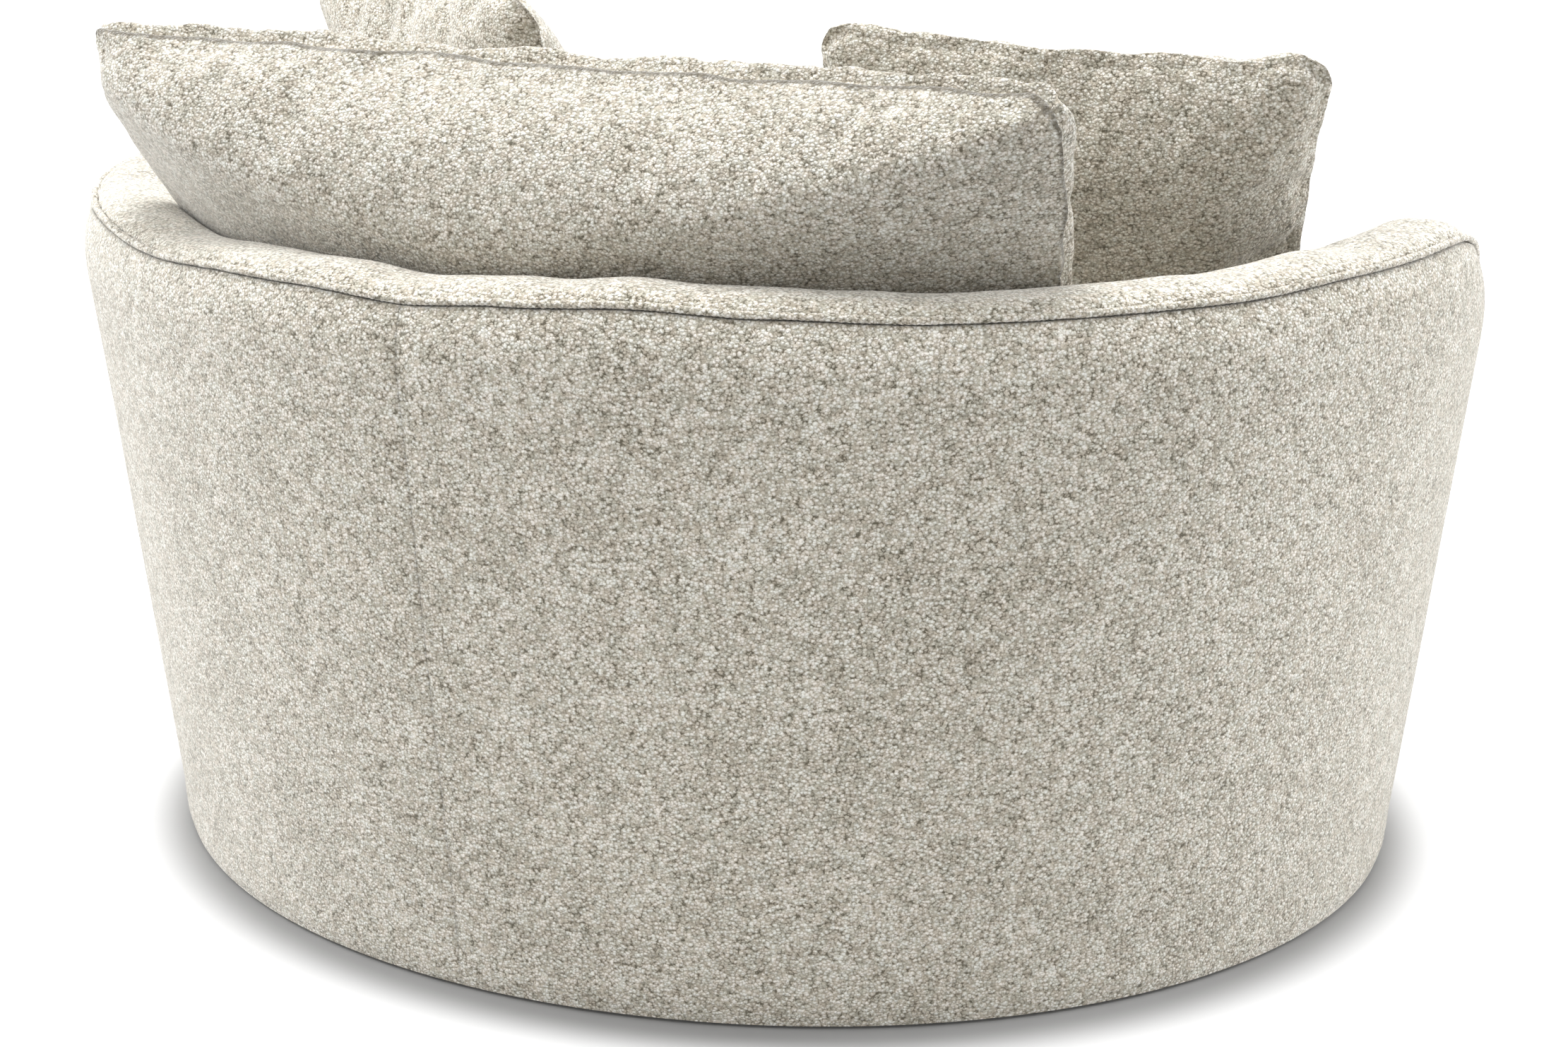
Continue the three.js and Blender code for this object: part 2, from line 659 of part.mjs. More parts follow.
function buildFront() {
  const start = armPanelAngle + angleAcross(slopeGap);
  const end = 360 - start;
  const padTop = frontHeight - coverThickness - touchGap;
  addPiece('front_liner', sweepWall(start, end, () => rectangle(linerInset + linerThickness,
    linerInset, skirtGap + coverThickness, railTop)), materials.liner);
  addPiece('front_pad', sweepWall(start + paddingMarginAngle, end - paddingMarginAngle, () => [
    [linerInset, paddingLow], [linerInset, padTop - frontRounding],
    [linerInset + frontRounding, padTop], [insideFace, padTop], [insideFace, paddingLow],
  ]), materials.foam);
  addPiece('front_cover', sweepWall(start, end, () => [
    [0, skirtGap], [0, frontHeight - frontRounding],
    [frontRounding / 4, frontHeight - frontRounding / 4], [frontRounding, frontHeight],
    [insideFace, frontHeight], [insideFace, frontHeight - coverThickness],
    [frontRounding, frontHeight - coverThickness],
    [coverThickness, frontHeight - frontRounding], [coverThickness, skirtGap],
  ]), materials.fabric);
  const dustHigh = boardHeight - touchGap;
  addPiece('dust_cover', ovalDisc(frameInset + bottomRingDepth + touchGap,
    dustHigh - deckClothThickness, dustHigh,
    [{ x: 0, y: 0, radius: raceOuterRadius + overrun }]), materials.lining);
  addPiece('deck_cloth', ovalDisc(foamInset + touchGap, deckHeight,
    deckHeight + deckClothThickness, []), materials.lining);
  addPiece('deck_pad', ovalDisc(insideFace + touchGap, paddingLow, frontHeight, []), materials.foam);
}

// Loose cushions. Each is pressed into the room that the tub leaves: inside its padding, and over
// the rim, where a cushion may hang out a little way.
const rimClearHeight = rimHeight + crownHeight + cushionGap;
const leftOverhangShare = 1.3;
const rightOverhangShare = 2.6;
const rightOverhangRise = 14;
const facetLossShare = Math.cos((facetAngle / 2) * degrees);

// Over the rim the room widens, and faster at the chair's right side, where the cushions hang out further
function overhangAt(x, z) {
  return x > 0 ? Math.max(0, z - rimClearHeight) * leftOverhangShare
    : Math.max(0, z - rimClearHeight - rightOverhangRise) * rightOverhangShare;
}

function roomAt(z, overhang = 0) {
  const halfWidth = halfWidthAt(Math.min(z, rimHeight));
  return {
    halfWidth: (halfWidth - insideFace - cushionGap + overhang) * facetLossShare,
    halfDepth: (halfWidth * depthShare - insideFace - cushionGap + overhang) * facetLossShare,
  };
}

function pressedIntoTub(point) {
  const { halfWidth, halfDepth } = roomAt(point.z, overhangAt(point.x, point.z));
  const reach = Math.hypot(point.x / halfWidth, point.y / halfDepth);
  if (reach > 1) {
    point.x /= reach;
    point.y /= reach;
  }
  return point;
}

// Crown of the seat cushion, falling towards its edge, in the room where the tub is narrower
const seatFalloffPower = 2.5;
const seatRoom = halfWidthAt(seatBottom) < halfWidthAt(seatTop) ? roomAt(seatBottom) : roomAt(seatTop);

function seatTopAt(x, y) {
  const reach = Math.min(1, Math.hypot(x / seatRoom.halfWidth, y / seatRoom.halfDepth));
  return seatTop - seatCrown * reach ** seatFalloffPower;
}

// The seat cushion fills the tub, and its front stands out between the ends of the arms
const seatCornerAngle = armPanelAngle + angleAcross(2 * coverThickness);
const seatShoulderAngle = 1.4;
const seatFront = halfWidthAt(seatBottom + seatCushionHeight) * facetLossShare;

function seatOutline(angle) {
  const folded = Math.abs(angle > 180 ? angle - 360 : angle);
  const inFront = folded > seatCornerAngle;
  const [across, along] = inFront ? [seatFront, seatFront * depthShare]
    : [seatRoom.halfWidth, seatRoom.halfDepth];
  return new THREE.Vector2(across * Math.sin(angle * degrees), along * Math.cos(angle * degrees));
}

// Side of the seat cushion as shares of its plan and height, then the rings of its top
const seatSideShares = [[0.9, 0], [0.985, 0.1], [1, 0.3], [1, 0.62], [0.985, 0.85], [0.94, 0.965]];
const seatTopShares = [0.86, 0.66, 0.4];

function buildSeatCushion() {
  const angles = [];
  for (let angle = 0; angle < 360; angle += facetAngle) angles.push(angle);
  angles.push(seatCornerAngle, seatCornerAngle + seatShoulderAngle);
  angles.push(360 - seatCornerAngle, 360 - seatCornerAngle - seatShoulderAngle);
  angles.sort((a, b) => a - b);
  const points = [];
  const ringOf = (scale, height) => angles.forEach((angle) => {
    const edge = seatOutline(angle);
    const [x, y] = [edge.x * scale, edge.y * scale];
    points.push(new THREE.Vector3(x, y, height(x, y)));
  });
  seatSideShares.forEach(([scale, up]) => ringOf(scale, (x, y) => (
    seatBottom + (seatTopAt(x, y) - seatBottom) * up)));
  seatTopShares.forEach((scale) => ringOf(scale, seatTopAt));
  const count = angles.length;
  const rings = seatSideShares.length + seatTopShares.length;
  points.push(new THREE.Vector3(0, 0, seatTopAt(0, 0)), new THREE.Vector3(0, 0, seatBottom));
  const [topCentre, bottomCentre] = [count * rings, count * rings + 1];
  const triangles = [];
  for (let index = 0; index < count; index += 1) {
    const next = (index + 1) % count;
    for (let ring = 0; ring < rings - 1; ring += 1) {
      const [a, b] = [ring * count + index, ring * count + next];
      triangles.push([a, b, b + count], [a, b + count, a + count]);
    }
    triangles.push([bottomCentre, next, index]);
    triangles.push([topCentre, (rings - 1) * count + index, (rings - 1) * count + next]);
  }
  addPiece('seat_cushion', outwardFacing(closedGeometry(points, triangles)), materials.fabric);
}

// A sewn cushion: two crowned faces that meet at a narrow edge, with its sides drawn in between
// the corners. The form is placed in the chair and then pressed on what it lies against.
const crownPower = 2.4;
const fullnessPower = 0.62;

function sewnCushion({ width, height, thickness, edge, drawnIn, columns, rows, place }) {
  const points = [];
  const spread = (share) => Math.sin((share * Math.PI) / 2);
  const outlinePoint = (u, v, side) => {
    const across = (width / 2) * u * (1 - drawnIn * (1 - v * v));
    const up = (height / 2) * v * (1 - drawnIn * (1 - u * u));
    const crown = (1 - Math.abs(u) ** crownPower) * (1 - Math.abs(v) ** crownPower);
    const out = side * (edge / 2 + ((thickness - edge) / 2) * crown ** fullnessPower);
    return restedOnSeat(pressedIntoTub(place(new THREE.Vector3(across, out, up))));
  };
  const grid = [1, -1].map((side) => {
    const start = points.length;
    for (let row = 0; row <= rows; row += 1) {
      for (let column = 0; column <= columns; column += 1) {
        points.push(outlinePoint(spread((2 * column) / columns - 1), spread((2 * row) / rows - 1), side));
      }
    }
    return start;
  });
  const at = (side, row, column) => grid[side] + row * (columns + 1) + column;
  const triangles = [];
  const quad = (a, b, c, d) => triangles.push([a, b, c], [a, c, d]);
  for (let row = 0; row < rows; row += 1) {
    for (let column = 0; column < columns; column += 1) {
      quad(at(0, row, column), at(0, row, column + 1), at(0, row + 1, column + 1), at(0, row + 1, column));
      quad(at(1, row, column), at(1, row + 1, column), at(1, row + 1, column + 1), at(1, row, column + 1));
    }
  }
  for (let column = 0; column < columns; column += 1) {
    quad(at(0, 0, column), at(1, 0, column), at(1, 0, column + 1), at(0, 0, column + 1));
    quad(at(0, rows, column), at(0, rows, column + 1), at(1, rows, column + 1), at(1, rows, column));
  }
  for (let row = 0; row < rows; row += 1) {
    quad(at(0, row, 0), at(0, row + 1, 0), at(1, row + 1, 0), at(1, row, 0));
    quad(at(0, row, columns), at(1, row, columns), at(1, row + 1, columns), at(0, row + 1, columns));
  }
  return outwardFacing(closedGeometry(points, triangles));
}

function placedBy({ x, y, z, turnAngle, leanAngle, rollAngle = 0 }) {
  const matrix = new THREE.Matrix4().makeRotationZ(turnAngle * degrees)
    .multiply(new THREE.Matrix4().makeRotationX(-leanAngle * degrees))
    .multiply(new THREE.Matrix4().makeRotationY(-rollAngle * degrees));
  matrix.setPosition(x, y, z);
  return (point) => point.applyMatrix4(matrix);
}

function restedOnSeat(point) {
  point.z = Math.max(point.z, seatTopAt(point.x, point.y) + cushionGap / 2);
  return point;
}

// Places of the loose cushions: shares of the room at the rim, with the angles of turn, of backward lean
// and of roll in the cushion's own plane
const roomAtRim = { halfWidth: rimHalfWidth - insideFace, halfDepth: rimHalfWidth * depthShare - insideFace };
const backCushionPlace = { acrossShare: -0.077, turnAngle: 3, leanAngle: 8 };
const leftScatterPlace = {
  acrossShare: 0.584, alongShare: -0.019, turnAngle: -26, leanAngle: 28, rollAngle: 0,
};
const rightScatterPlace = {
  acrossShare: -0.558, alongShare: 0.1245, turnAngle: 17, leanAngle: 33, rollAngle: 4,
};

function buildBackCushion() {
  const { acrossShare, turnAngle, leanAngle } = backCushionPlace;
  const place = placedBy({
    x: roomAtRim.halfWidth * acrossShare,
    y: roomAtRim.halfDepth - backCushionThickness / 2 + backCushionPress,
    z: seatTop + backCushionHeight / 2,
    turnAngle,
    leanAngle,
  });
  addPiece('back_cushion', sewnCushion({
    width: backCushionWidth, height: backCushionHeight, thickness: backCushionThickness,
    edge: backCushionEdge, drawnIn: backCushionDrawnInShare, columns: 22, rows: 12, place,
  }), materials.fabric);
}

// A rolled cushion stands on a corner that sinks half its depth into the seat
function buildScatterCushion(name, { acrossShare, alongShare, turnAngle, leanAngle, rollAngle }) {
  const cornerShare = 1 + Math.abs(Math.sin(rollAngle * degrees)) / 2;
  const standing = (scatterSize / 2) * (1 - scatterDrawnInShare) * cornerShare
    * Math.cos(leanAngle * degrees);
  const place = placedBy({
    x: roomAtRim.halfWidth * acrossShare,
    y: roomAtRim.halfDepth * alongShare,
    z: seatTop + standing,
    turnAngle,
    leanAngle,
    rollAngle,
  });
  addPiece(name, sewnCushion({
    width: scatterSize, height: scatterSize, thickness: scatterThickness,
    edge: scatterEdge, drawnIn: scatterDrawnInShare, columns: 12, rows: 12, place,
  }), materials.fabric);
}

buildBase();
buildFrame();
buildTubPadding();
buildSeatCushion();
buildBackCushion();
buildScatterCushion('scatter_cushion_left', leftScatterPlace);
buildScatterCushion('scatter_cushion_right', rightScatterPlace);

export default chair;
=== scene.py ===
"""Round swivel cuddle chair, dressed in looped boucle and seen from behind, a little to one side."""
import json
import math

import bpy
from mathutils import Matrix, Vector, noise

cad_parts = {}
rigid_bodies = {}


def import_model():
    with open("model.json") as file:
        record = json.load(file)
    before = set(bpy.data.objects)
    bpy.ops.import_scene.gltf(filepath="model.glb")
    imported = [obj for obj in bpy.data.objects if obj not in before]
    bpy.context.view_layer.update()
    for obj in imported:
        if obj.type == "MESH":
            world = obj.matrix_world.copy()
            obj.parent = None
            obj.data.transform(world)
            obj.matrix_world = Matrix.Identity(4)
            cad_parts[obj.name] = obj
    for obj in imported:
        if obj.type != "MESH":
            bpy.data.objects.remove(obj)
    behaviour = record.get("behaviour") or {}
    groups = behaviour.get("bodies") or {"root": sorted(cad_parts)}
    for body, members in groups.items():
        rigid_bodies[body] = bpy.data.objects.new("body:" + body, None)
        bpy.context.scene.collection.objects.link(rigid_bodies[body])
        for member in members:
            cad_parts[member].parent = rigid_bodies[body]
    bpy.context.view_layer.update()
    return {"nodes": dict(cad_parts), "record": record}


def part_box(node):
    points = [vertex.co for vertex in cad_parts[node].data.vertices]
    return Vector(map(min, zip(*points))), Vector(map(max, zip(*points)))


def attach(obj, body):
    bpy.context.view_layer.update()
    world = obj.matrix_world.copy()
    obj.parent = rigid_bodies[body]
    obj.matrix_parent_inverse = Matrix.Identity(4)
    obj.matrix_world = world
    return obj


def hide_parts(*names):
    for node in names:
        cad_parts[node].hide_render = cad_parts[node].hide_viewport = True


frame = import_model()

DEGREE = math.pi / 180

# Driving sizes of the tub, in metres
RIM_HALF_WIDTH = 0.685
DEPTH_SHARE = 0.924
RIM_HEIGHT = 0.615
BASE_HALF_WIDTH = 0.612
SKIRT_GAP = 0.012
ARM_END_ANGLE = 126
ARM_FALL_START = 85
ARM_FALL = 0.170
ARM_FALL_POWER = 1.4
SEAM_INSET = 0.0178
SHOULDER_HEIGHT = 0.060
CROWN_HEIGHT = 0.014
COVER_THICKNESS = 0.0026
BAND_INSET = 0.0208
INSIDE_FACE = 0.1029
WELT_RADIUS = 0.0031
FRONT_HEIGHT = 0.285
DECK_HEIGHT = 0.2655
FRONT_ROUNDING = 0.007
TOUCH_GAP = 0.0003

# Loose cushions. A filling reach is how far the filling may push the cloth.
SEAT_BOTTOM = 0.2853
SEAT_HEIGHT = 0.138
SEAT_CROWN = 0.016
SEAT_TOP = SEAT_BOTTOM + SEAT_HEIGHT + SEAT_CROWN
CUSHION_GAP = 0.0012
BACK_WIDTH = 0.888
BACK_HEIGHT = 0.345
BACK_THICKNESS = 0.190
BACK_FILLING_REACH = 0.020
SCATTER_SIZE = 0.430
SCATTER_THICKNESS = 0.135
SCATTER_FILLING_REACH = 0.019
ROOM_HALF_WIDTH = RIM_HALF_WIDTH - INSIDE_FACE
ROOM_HALF_DEPTH = RIM_HALF_WIDTH * DEPTH_SHARE - INSIDE_FACE


def eased(points, x):
    """Value at x of a smooth line through a few (x, value) points."""
    if x <= points[0][0]:
        return points[0][1]
    for (x0, y0), (x1, y1) in zip(points, points[1:]):
        if x <= x1:
            share = (x - x0) / (x1 - x0)
            return y0 + (y1 - y0) * share * share * (3 - 2 * share)
    return points[-1][1]


def line_through(points, count, curved=True):
    """A line through a few points, smooth or with corners, as count points at even steps."""
    fine = list(points)
    if curved:
        spans = [math.dist(before, after) for before, after in zip(points, points[1:])]
        slopes = [[(q - p) / span for p, q in zip(before, after)]
                  for before, after, span in zip(points, points[1:], spans)]
        tangents = [slopes[0]]
        for index in range(1, len(slopes)):
            near, far = spans[index - 1], spans[index]
            tangents.append([(p * far + q * near) / (near + far)
                             for p, q in zip(slopes[index - 1], slopes[index])])
        tangents.append(slopes[-1])
        fine = []
        for index, span in enumerate(spans):
            ends = points[index], points[index + 1], tangents[index], tangents[index + 1]
            for step in range(10):
                t = step / 10
                fine.append(tuple(
                    p * (1 + 2 * t) * (1 - t) ** 2 + q * t * t * (3 - 2 * t)
                    + span * (m * t * (1 - t) ** 2 - n * t * t * (1 - t))
                    for p, q, m, n in zip(*ends)))
        fine.append(tuple(points[-1]))
    lengths = [0.0]
    for before, after in zip(fine, fine[1:]):
        lengths.append(lengths[-1] + math.dist(before, after))
    line, piece = [], 0
    for index in range(count):
        wanted = lengths[-1] * index / (count - 1)
        while piece < len(fine) - 2 and lengths[piece + 1] < wanted:
            piece += 1
        span = lengths[piece + 1] - lengths[piece] or 1
        share = min(1, (wanted - lengths[piece]) / span)
        line.append(tuple(p + (q - p) * share for p, q in zip(fine[piece], fine[piece + 1])))
    return line


# Form of the tub: a straight-sided oval cone. Angles are in degrees from the centre back, positive to the
# sitter's left. The rim's seam is sewn by hand and wanders by a few millimetres.
SEAM_WANDER = ((-104, 0), (-90, 0.0072), (-73, 0.0052), (-60, -0.0008), (-38, -0.0020), (-26, 0.0025),
               (-17, 0.0070), (-8, 0.0025), (0, -0.0036), (8, 0.0004), (16, -0.0008), (28, -0.0068),
               (46, 0.0004), (70, 0.0030), (90, -0.0012), (110, 0))


def half_width(z):
    """Half of the tub's width at a height."""
    widening = (RIM_HALF_WIDTH - BASE_HALF_WIDTH) * (z - SKIRT_GAP) / (RIM_HEIGHT - SKIRT_GAP)
    return BASE_HALF_WIDTH + widening


def on_wall(angle, inset, z):
    """The point of the tub at an angle and a height, inset from its outer face."""
    width = half_width(z)
    return Vector(((width - inset) * math.sin(angle * DEGREE),
                   (width * DEPTH_SHARE - inset) * math.cos(angle * DEGREE), z))


def rim_at(angle):
    """Height of the rim's seam: level round the back, and falling towards the ends of the arms."""
    beyond = max(0, abs(angle) - ARM_FALL_START) / (ARM_END_ANGLE - ARM_FALL_START)
    fall = ((1 - math.cos(math.pi * min(1, beyond))) / 2) ** ARM_FALL_POWER
    return RIM_HEIGHT - ARM_FALL * fall + eased(SEAM_WANDER, angle)


def undulation(x, y, z, size, seed):
    """Slow, even unevenness from -1 to 1, as padding under cloth has."""
    return noise.noise(Vector((x / size + seed, y / size, z / size)))


# Making of pieces
def nothing_selected():
    if bpy.context.mode != "OBJECT":
        bpy.ops.object.mode_set(mode="OBJECT")
    bpy.ops.object.select_all(action="DESELECT")


def alone(piece):
    nothing_selected()
    piece.select_set(True)
    bpy.context.view_layer.objects.active = piece


def finished(piece, modifier):
    alone(piece)
    bpy.ops.object.modifier_apply(modifier=modifier.name)


def set_attribute(mesh, name, values):
    layer = mesh.attributes.get(name) or mesh.attributes.new(name, "FLOAT", "POINT")
    layer.data.foreach_set("value", values)


def laid_grid(name, columns, rows, place, round_u=False, round_v=False):
    """A grid of cloth laid on the form that place(u, v) gives: a point, and how deep in a seam it lies,
    which sets its painted seam shade.
    """
    nothing_selected()
    bpy.ops.mesh.primitive_grid_add(x_subdivisions=columns, y_subdivisions=rows, size=1,
                                    location=(0.5, 0.5, 0))
    piece = bpy.context.object
    piece.name = piece.data.name = name
    bpy.ops.object.transform_apply(location=True, rotation=True, scale=True)
    painted_seam_shades = []
    for vertex in piece.data.vertices:
        point, depth = place(min(1, max(0, vertex.co.x)), min(1, max(0, vertex.co.y)))
        vertex.co = point
        painted_seam_shades.append(depth)
    # The seam attribute holds painted shade for the cloth's colour
    set_attribute(piece.data, "seam", painted_seam_shades)
    if round_u or round_v:
        bpy.ops.object.mode_set(mode="EDIT")
        bpy.ops.mesh.select_all(action="SELECT")
        bpy.ops.mesh.remove_doubles(threshold=1e-5)
        bpy.ops.object.mode_set(mode="OBJECT")
    return piece


def turned_over(piece):
    alone(piece)
    bpy.ops.object.mode_set(mode="EDIT")
    bpy.ops.mesh.select_all(action="SELECT")
    bpy.ops.mesh.flip_normals()
    bpy.ops.object.mode_set(mode="OBJECT")


def facing_out(piece, outwards):
    """Turns an open sheet so that its faces point the way outwards(centre) says."""
    if sum(face.normal.dot(outwards(face.center)) * face.area for face in piece.data.polygons) < 0:
        turned_over(piece)
    return piece


def thickened(piece, thickness):
    """Gives a sheet its thickness, inwards from the face that shows."""
    wall = piece.modifiers.new("Thickness", "SOLIDIFY")
    wall.thickness = thickness
    wall.offset = -1
    wall.use_even_offset = True
    finished(piece, wall)
    return piece


def ends_filled(piece):
    """Closes what is still open with flat faces, and turns every face outwards."""
    alone(piece)
    bpy.ops.object.mode_set(mode="EDIT")
    bpy.ops.mesh.select_mode(type="EDGE")
    bpy.ops.mesh.select_all(action="SELECT")
    bpy.ops.mesh.remove_doubles(threshold=1e-5)
    bpy.ops.mesh.select_all(action="DESELECT")
    bpy.ops.mesh.select_non_manifold(extend=False, use_wire=False, use_boundary=True, use_multi_face=False,
                                     use_non_contiguous=False, use_verts=False)
    if bpy.context.object.data.total_edge_sel:
        bpy.ops.mesh.edge_face_add()
    bpy.ops.mesh.select_all(action="SELECT")
    bpy.ops.mesh.normals_make_consistent(inside=False)
    bpy.ops.object.mode_set(mode="OBJECT")
    if sum(face.center.dot(face.normal) * face.area for face in piece.data.polygons) < 0:
        turned_over(piece)
    return piece


def smoothed(piece, angle=50):
    alone(piece)
    bpy.ops.object.shade_smooth_by_angle(angle=angle * DEGREE)
    return piece


def dress(piece, material, replaces=()):
    """Gives a piece its finish, its place on the tub, and a name after the solid that it replaces.
    """
    if replaces:
        piece.name = piece.data.name = replaces[0] + "_soft"
    piece.data.materials.clear()
    piece.data.materials.append(material)
    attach(piece, "tub")
    if replaces:
        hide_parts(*replaces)


# Materials. Each effect that several finishes share is a node group with these outputs.
EFFECT_OUTPUTS = (("Colour", "NodeSocketColor"), ("Height", "NodeSocketFloat"),
                  ("Roughness", "NodeSocketFloat"))


def new_group(name, inputs):
    tree = bpy.data.node_groups.new(name, "ShaderNodeTree")
    for label, kind, value in inputs:
        socket = tree.interface.new_socket(label, in_out="INPUT", socket_type=kind)
        socket.default_value = value
    for label, kind in EFFECT_OUTPUTS:
        tree.interface.new_socket(label, in_out="OUTPUT", socket_type=kind)
    return tree, tree.nodes.new("NodeGroupInput"), tree.nodes.new("NodeGroupOutput")


def add(tree, kind, **values):
    """A node with its settings; a list of (socket, value or linked output) goes in sockets."""
    made = tree.nodes.new(kind)
    for key, value in values.items():
        if key != "sockets":
            setattr(made, key, value)
    for socket, value in values.get("sockets", ()):
        if isinstance(value, bpy.types.NodeSocket):
            tree.links.new(value, made.inputs[socket])
        else:
            made.inputs[socket].default_value = value
    return made


def maths(tree, operation, first, second):
    return add(tree, "ShaderNodeMath", operation=operation, sockets=((0, first), (1, second))).outputs[0]


def ranged(tree, value, low, high, to_low=0.0, to_high=1.0, smooth=True):
    made = add(tree, "ShaderNodeMapRange", interpolation_type="SMOOTHSTEP" if smooth else "LINEAR",
               sockets=(("Value", value), ("From Min", low), ("From Max", high),
                        ("To Min", to_low), ("To Max", to_high)))
    return made.outputs["Result"]


def mixed(tree, share, first, second, blend="MIX"):
    made = add(tree, "ShaderNodeMix", data_type="RGBA", blend_type=blend,
               sockets=((0, share), (6, first), (7, second)))
    return made.outputs[2]


def noise_on(tree, vector, scale, detail, rough):
    return add(tree, "ShaderNodeTexNoise",
               sockets=(("Vector", vector), ("Scale", scale), ("Detail", detail), ("Roughness", rough)))


def looped_boucle():
    """Close loops of yarn, each with its own tone, crowns painted lighter, painted shade where they part,
    in the gaps and along seams, and slow mottling.
    """
    tree, given, out = new_group(
        "looped_boucle",
        (("Loop Colour", "NodeSocketColor", (0.8, 0.75, 0.66, 1)),
         ("Yarn Colour", "NodeSocketColor", (0.5, 0.46, 0.39, 1)),
         ("Gap Shade Colour", "NodeSocketColor", (0.2, 0.18, 0.14, 1)),
         ("Loops Per Metre", "NodeSocketFloat", 310.0)))
    spot = add(tree, "ShaderNodeTexCoord").outputs["Object"]
    flat = add(tree, "ShaderNodeMapping",
               sockets=(("Vector", spot), ("Scale", (1.0, 1.0, 1.18)))).outputs[0]
    bend = noise_on(tree, spot, 300.0, 2.0, 0.6)
    shift = add(tree, "ShaderNodeVectorMath", operation="MULTIPLY_ADD",
                sockets=((0, bend.outputs["Color"]), (1, (0.0034, 0.0034, 0.0028)), (2, flat))).outputs[0]
    near = add(tree, "ShaderNodeTexVoronoi", feature="F1",
               sockets=(("Vector", shift), ("Scale", given.outputs["Loops Per Metre"]),
                        ("Randomness", 0.95)))
    dome = ranged(tree, near.outputs["Distance"], 0.66, 0.12)
    corner = ranged(tree, near.outputs["Distance"], 0.44, 0.84)
    luck = add(tree, "ShaderNodeSeparateColor", sockets=(("Color", near.outputs["Color"]),))
    fibre = noise_on(tree, spot, 900.0, 2.0, 0.7).outputs[0]
    patch = noise_on(tree, spot, 55.0, 3.0, 0.65).outputs[0]
    cloud = noise_on(tree, spot, 9.0, 2.0, 0.5).outputs[0]
    bright = ranged(tree, patch, 0.36, 0.62, 0.84, 1.08)
    # Random tone per loop, times painted shading that makes each loop lighter on its crown
    light = maths(tree, "MULTIPLY", ranged(tree, luck.outputs[0], 0.0, 1.0, 0.52, 1.20, smooth=False),
                  ranged(tree, dome, 0, 1, 0.62, 1.08))
    light = maths(tree, "MULTIPLY", light, bright)
    # Painted shade where neighbouring loops part
    parting_shade = maths(tree, "MULTIPLY", corner, ranged(tree, luck.outputs[1], 0, 1, 0.02, 0.70))
    light = maths(tree, "SUBTRACT", light, parting_shade)
    light = maths(tree, "ADD", light, ranged(tree, fibre, 0.25, 0.75, -0.15, 0.15))
    light = maths(tree, "ADD", light, ranged(tree, cloud, 0.35, 0.65, -0.03, 0.03))
    # The gap colour is painted shade between the loops; the yarn and loop colours carry the loops' own
    # tones
    ground = mixed(tree, ranged(tree, light, -0.10, 0.52, smooth=False), given.outputs["Gap Shade Colour"],
                   given.outputs["Yarn Colour"])
    yarn = mixed(tree, ranged(tree, light, 0.50, 1.05, smooth=False), ground, given.outputs["Loop Colour"])
    warm = noise_on(tree, spot, 120.0, 2.0, 0.5).outputs[0]
    warmth = mixed(tree, ranged(tree, warm, 0.35, 0.65), (1.0, 0.978, 0.950, 1), (0.974, 1.0, 0.985, 1))
    tinted = mixed(tree, 1.0, yarn, warmth, "MULTIPLY")
    # Painted shade along seams: the seam attribute mixes the cloth towards a shade colour, broken up by
    # noise
    seam = add(tree, "ShaderNodeAttribute", attribute_name="seam").outputs["Fac"]
    seam_shade_breakup = ranged(tree, noise_on(tree, spot, 210.0, 2.0, 0.6).outputs[0], 0.36, 0.62, 0.72, 1.06)
    seam = maths(tree, "MULTIPLY", seam, seam_shade_breakup)
    shade = mixed(tree, ranged(tree, seam, 0.22, 0.95, 0.0, 0.80), tinted, (0.105, 0.092, 0.068, 1))
    tree.links.new(shade, out.inputs["Colour"])
    tuft = maths(tree, "ADD", maths(tree, "MULTIPLY", dome, ranged(tree, luck.outputs[2], 0, 1, 0.45, 1.0)),
                 maths(tree, "MULTIPLY", fibre, 0.3))
    tree.links.new(tuft, out.inputs["Height"])
    tree.links.new(ranged(tree, dome, 0, 1, 0.98, 0.88), out.inputs["Roughness"])
    return tree


def worn_surface():
    """Small scuffs and dust on a hard finish."""
    tree, given, out = new_group(
        "worn_surface",
        (("Colour", "NodeSocketColor", (0.5, 0.5, 0.5, 1)),
         ("Scuff Colour", "NodeSocketColor", (0.6, 0.6, 0.6, 1)),
         ("Grain Per Metre", "NodeSocketFloat", 300.0), ("Base Roughness", "NodeSocketFloat", 0.4)))
    spot = add(tree, "ShaderNodeTexCoord").outputs["Object"]
    grain = noise_on(tree, spot, given.outputs["Grain Per Metre"], 3.0, 0.6).outputs[0]
    cloud = noise_on(tree, spot, 18.0, 4.0, 0.6).outputs[0]
    scuff = ranged(tree, cloud, 0.52, 0.74, 0.0, 0.45)
    tone = mixed(tree, scuff, given.outputs["Colour"], given.outputs["Scuff Colour"])
    speckle = mixed(tree, ranged(tree, grain, 0.4, 0.75, 0.0, 0.25), tone, given.outputs["Scuff Colour"])
    tree.links.new(speckle, out.inputs["Colour"])
    tree.links.new(grain, out.inputs["Height"])
    rough = maths(tree, "ADD", given.outputs["Base Roughness"], ranged(tree, cloud, 0.3, 0.7, -0.08, 0.12))
    tree.links.new(rough, out.inputs["Roughness"])
    return tree


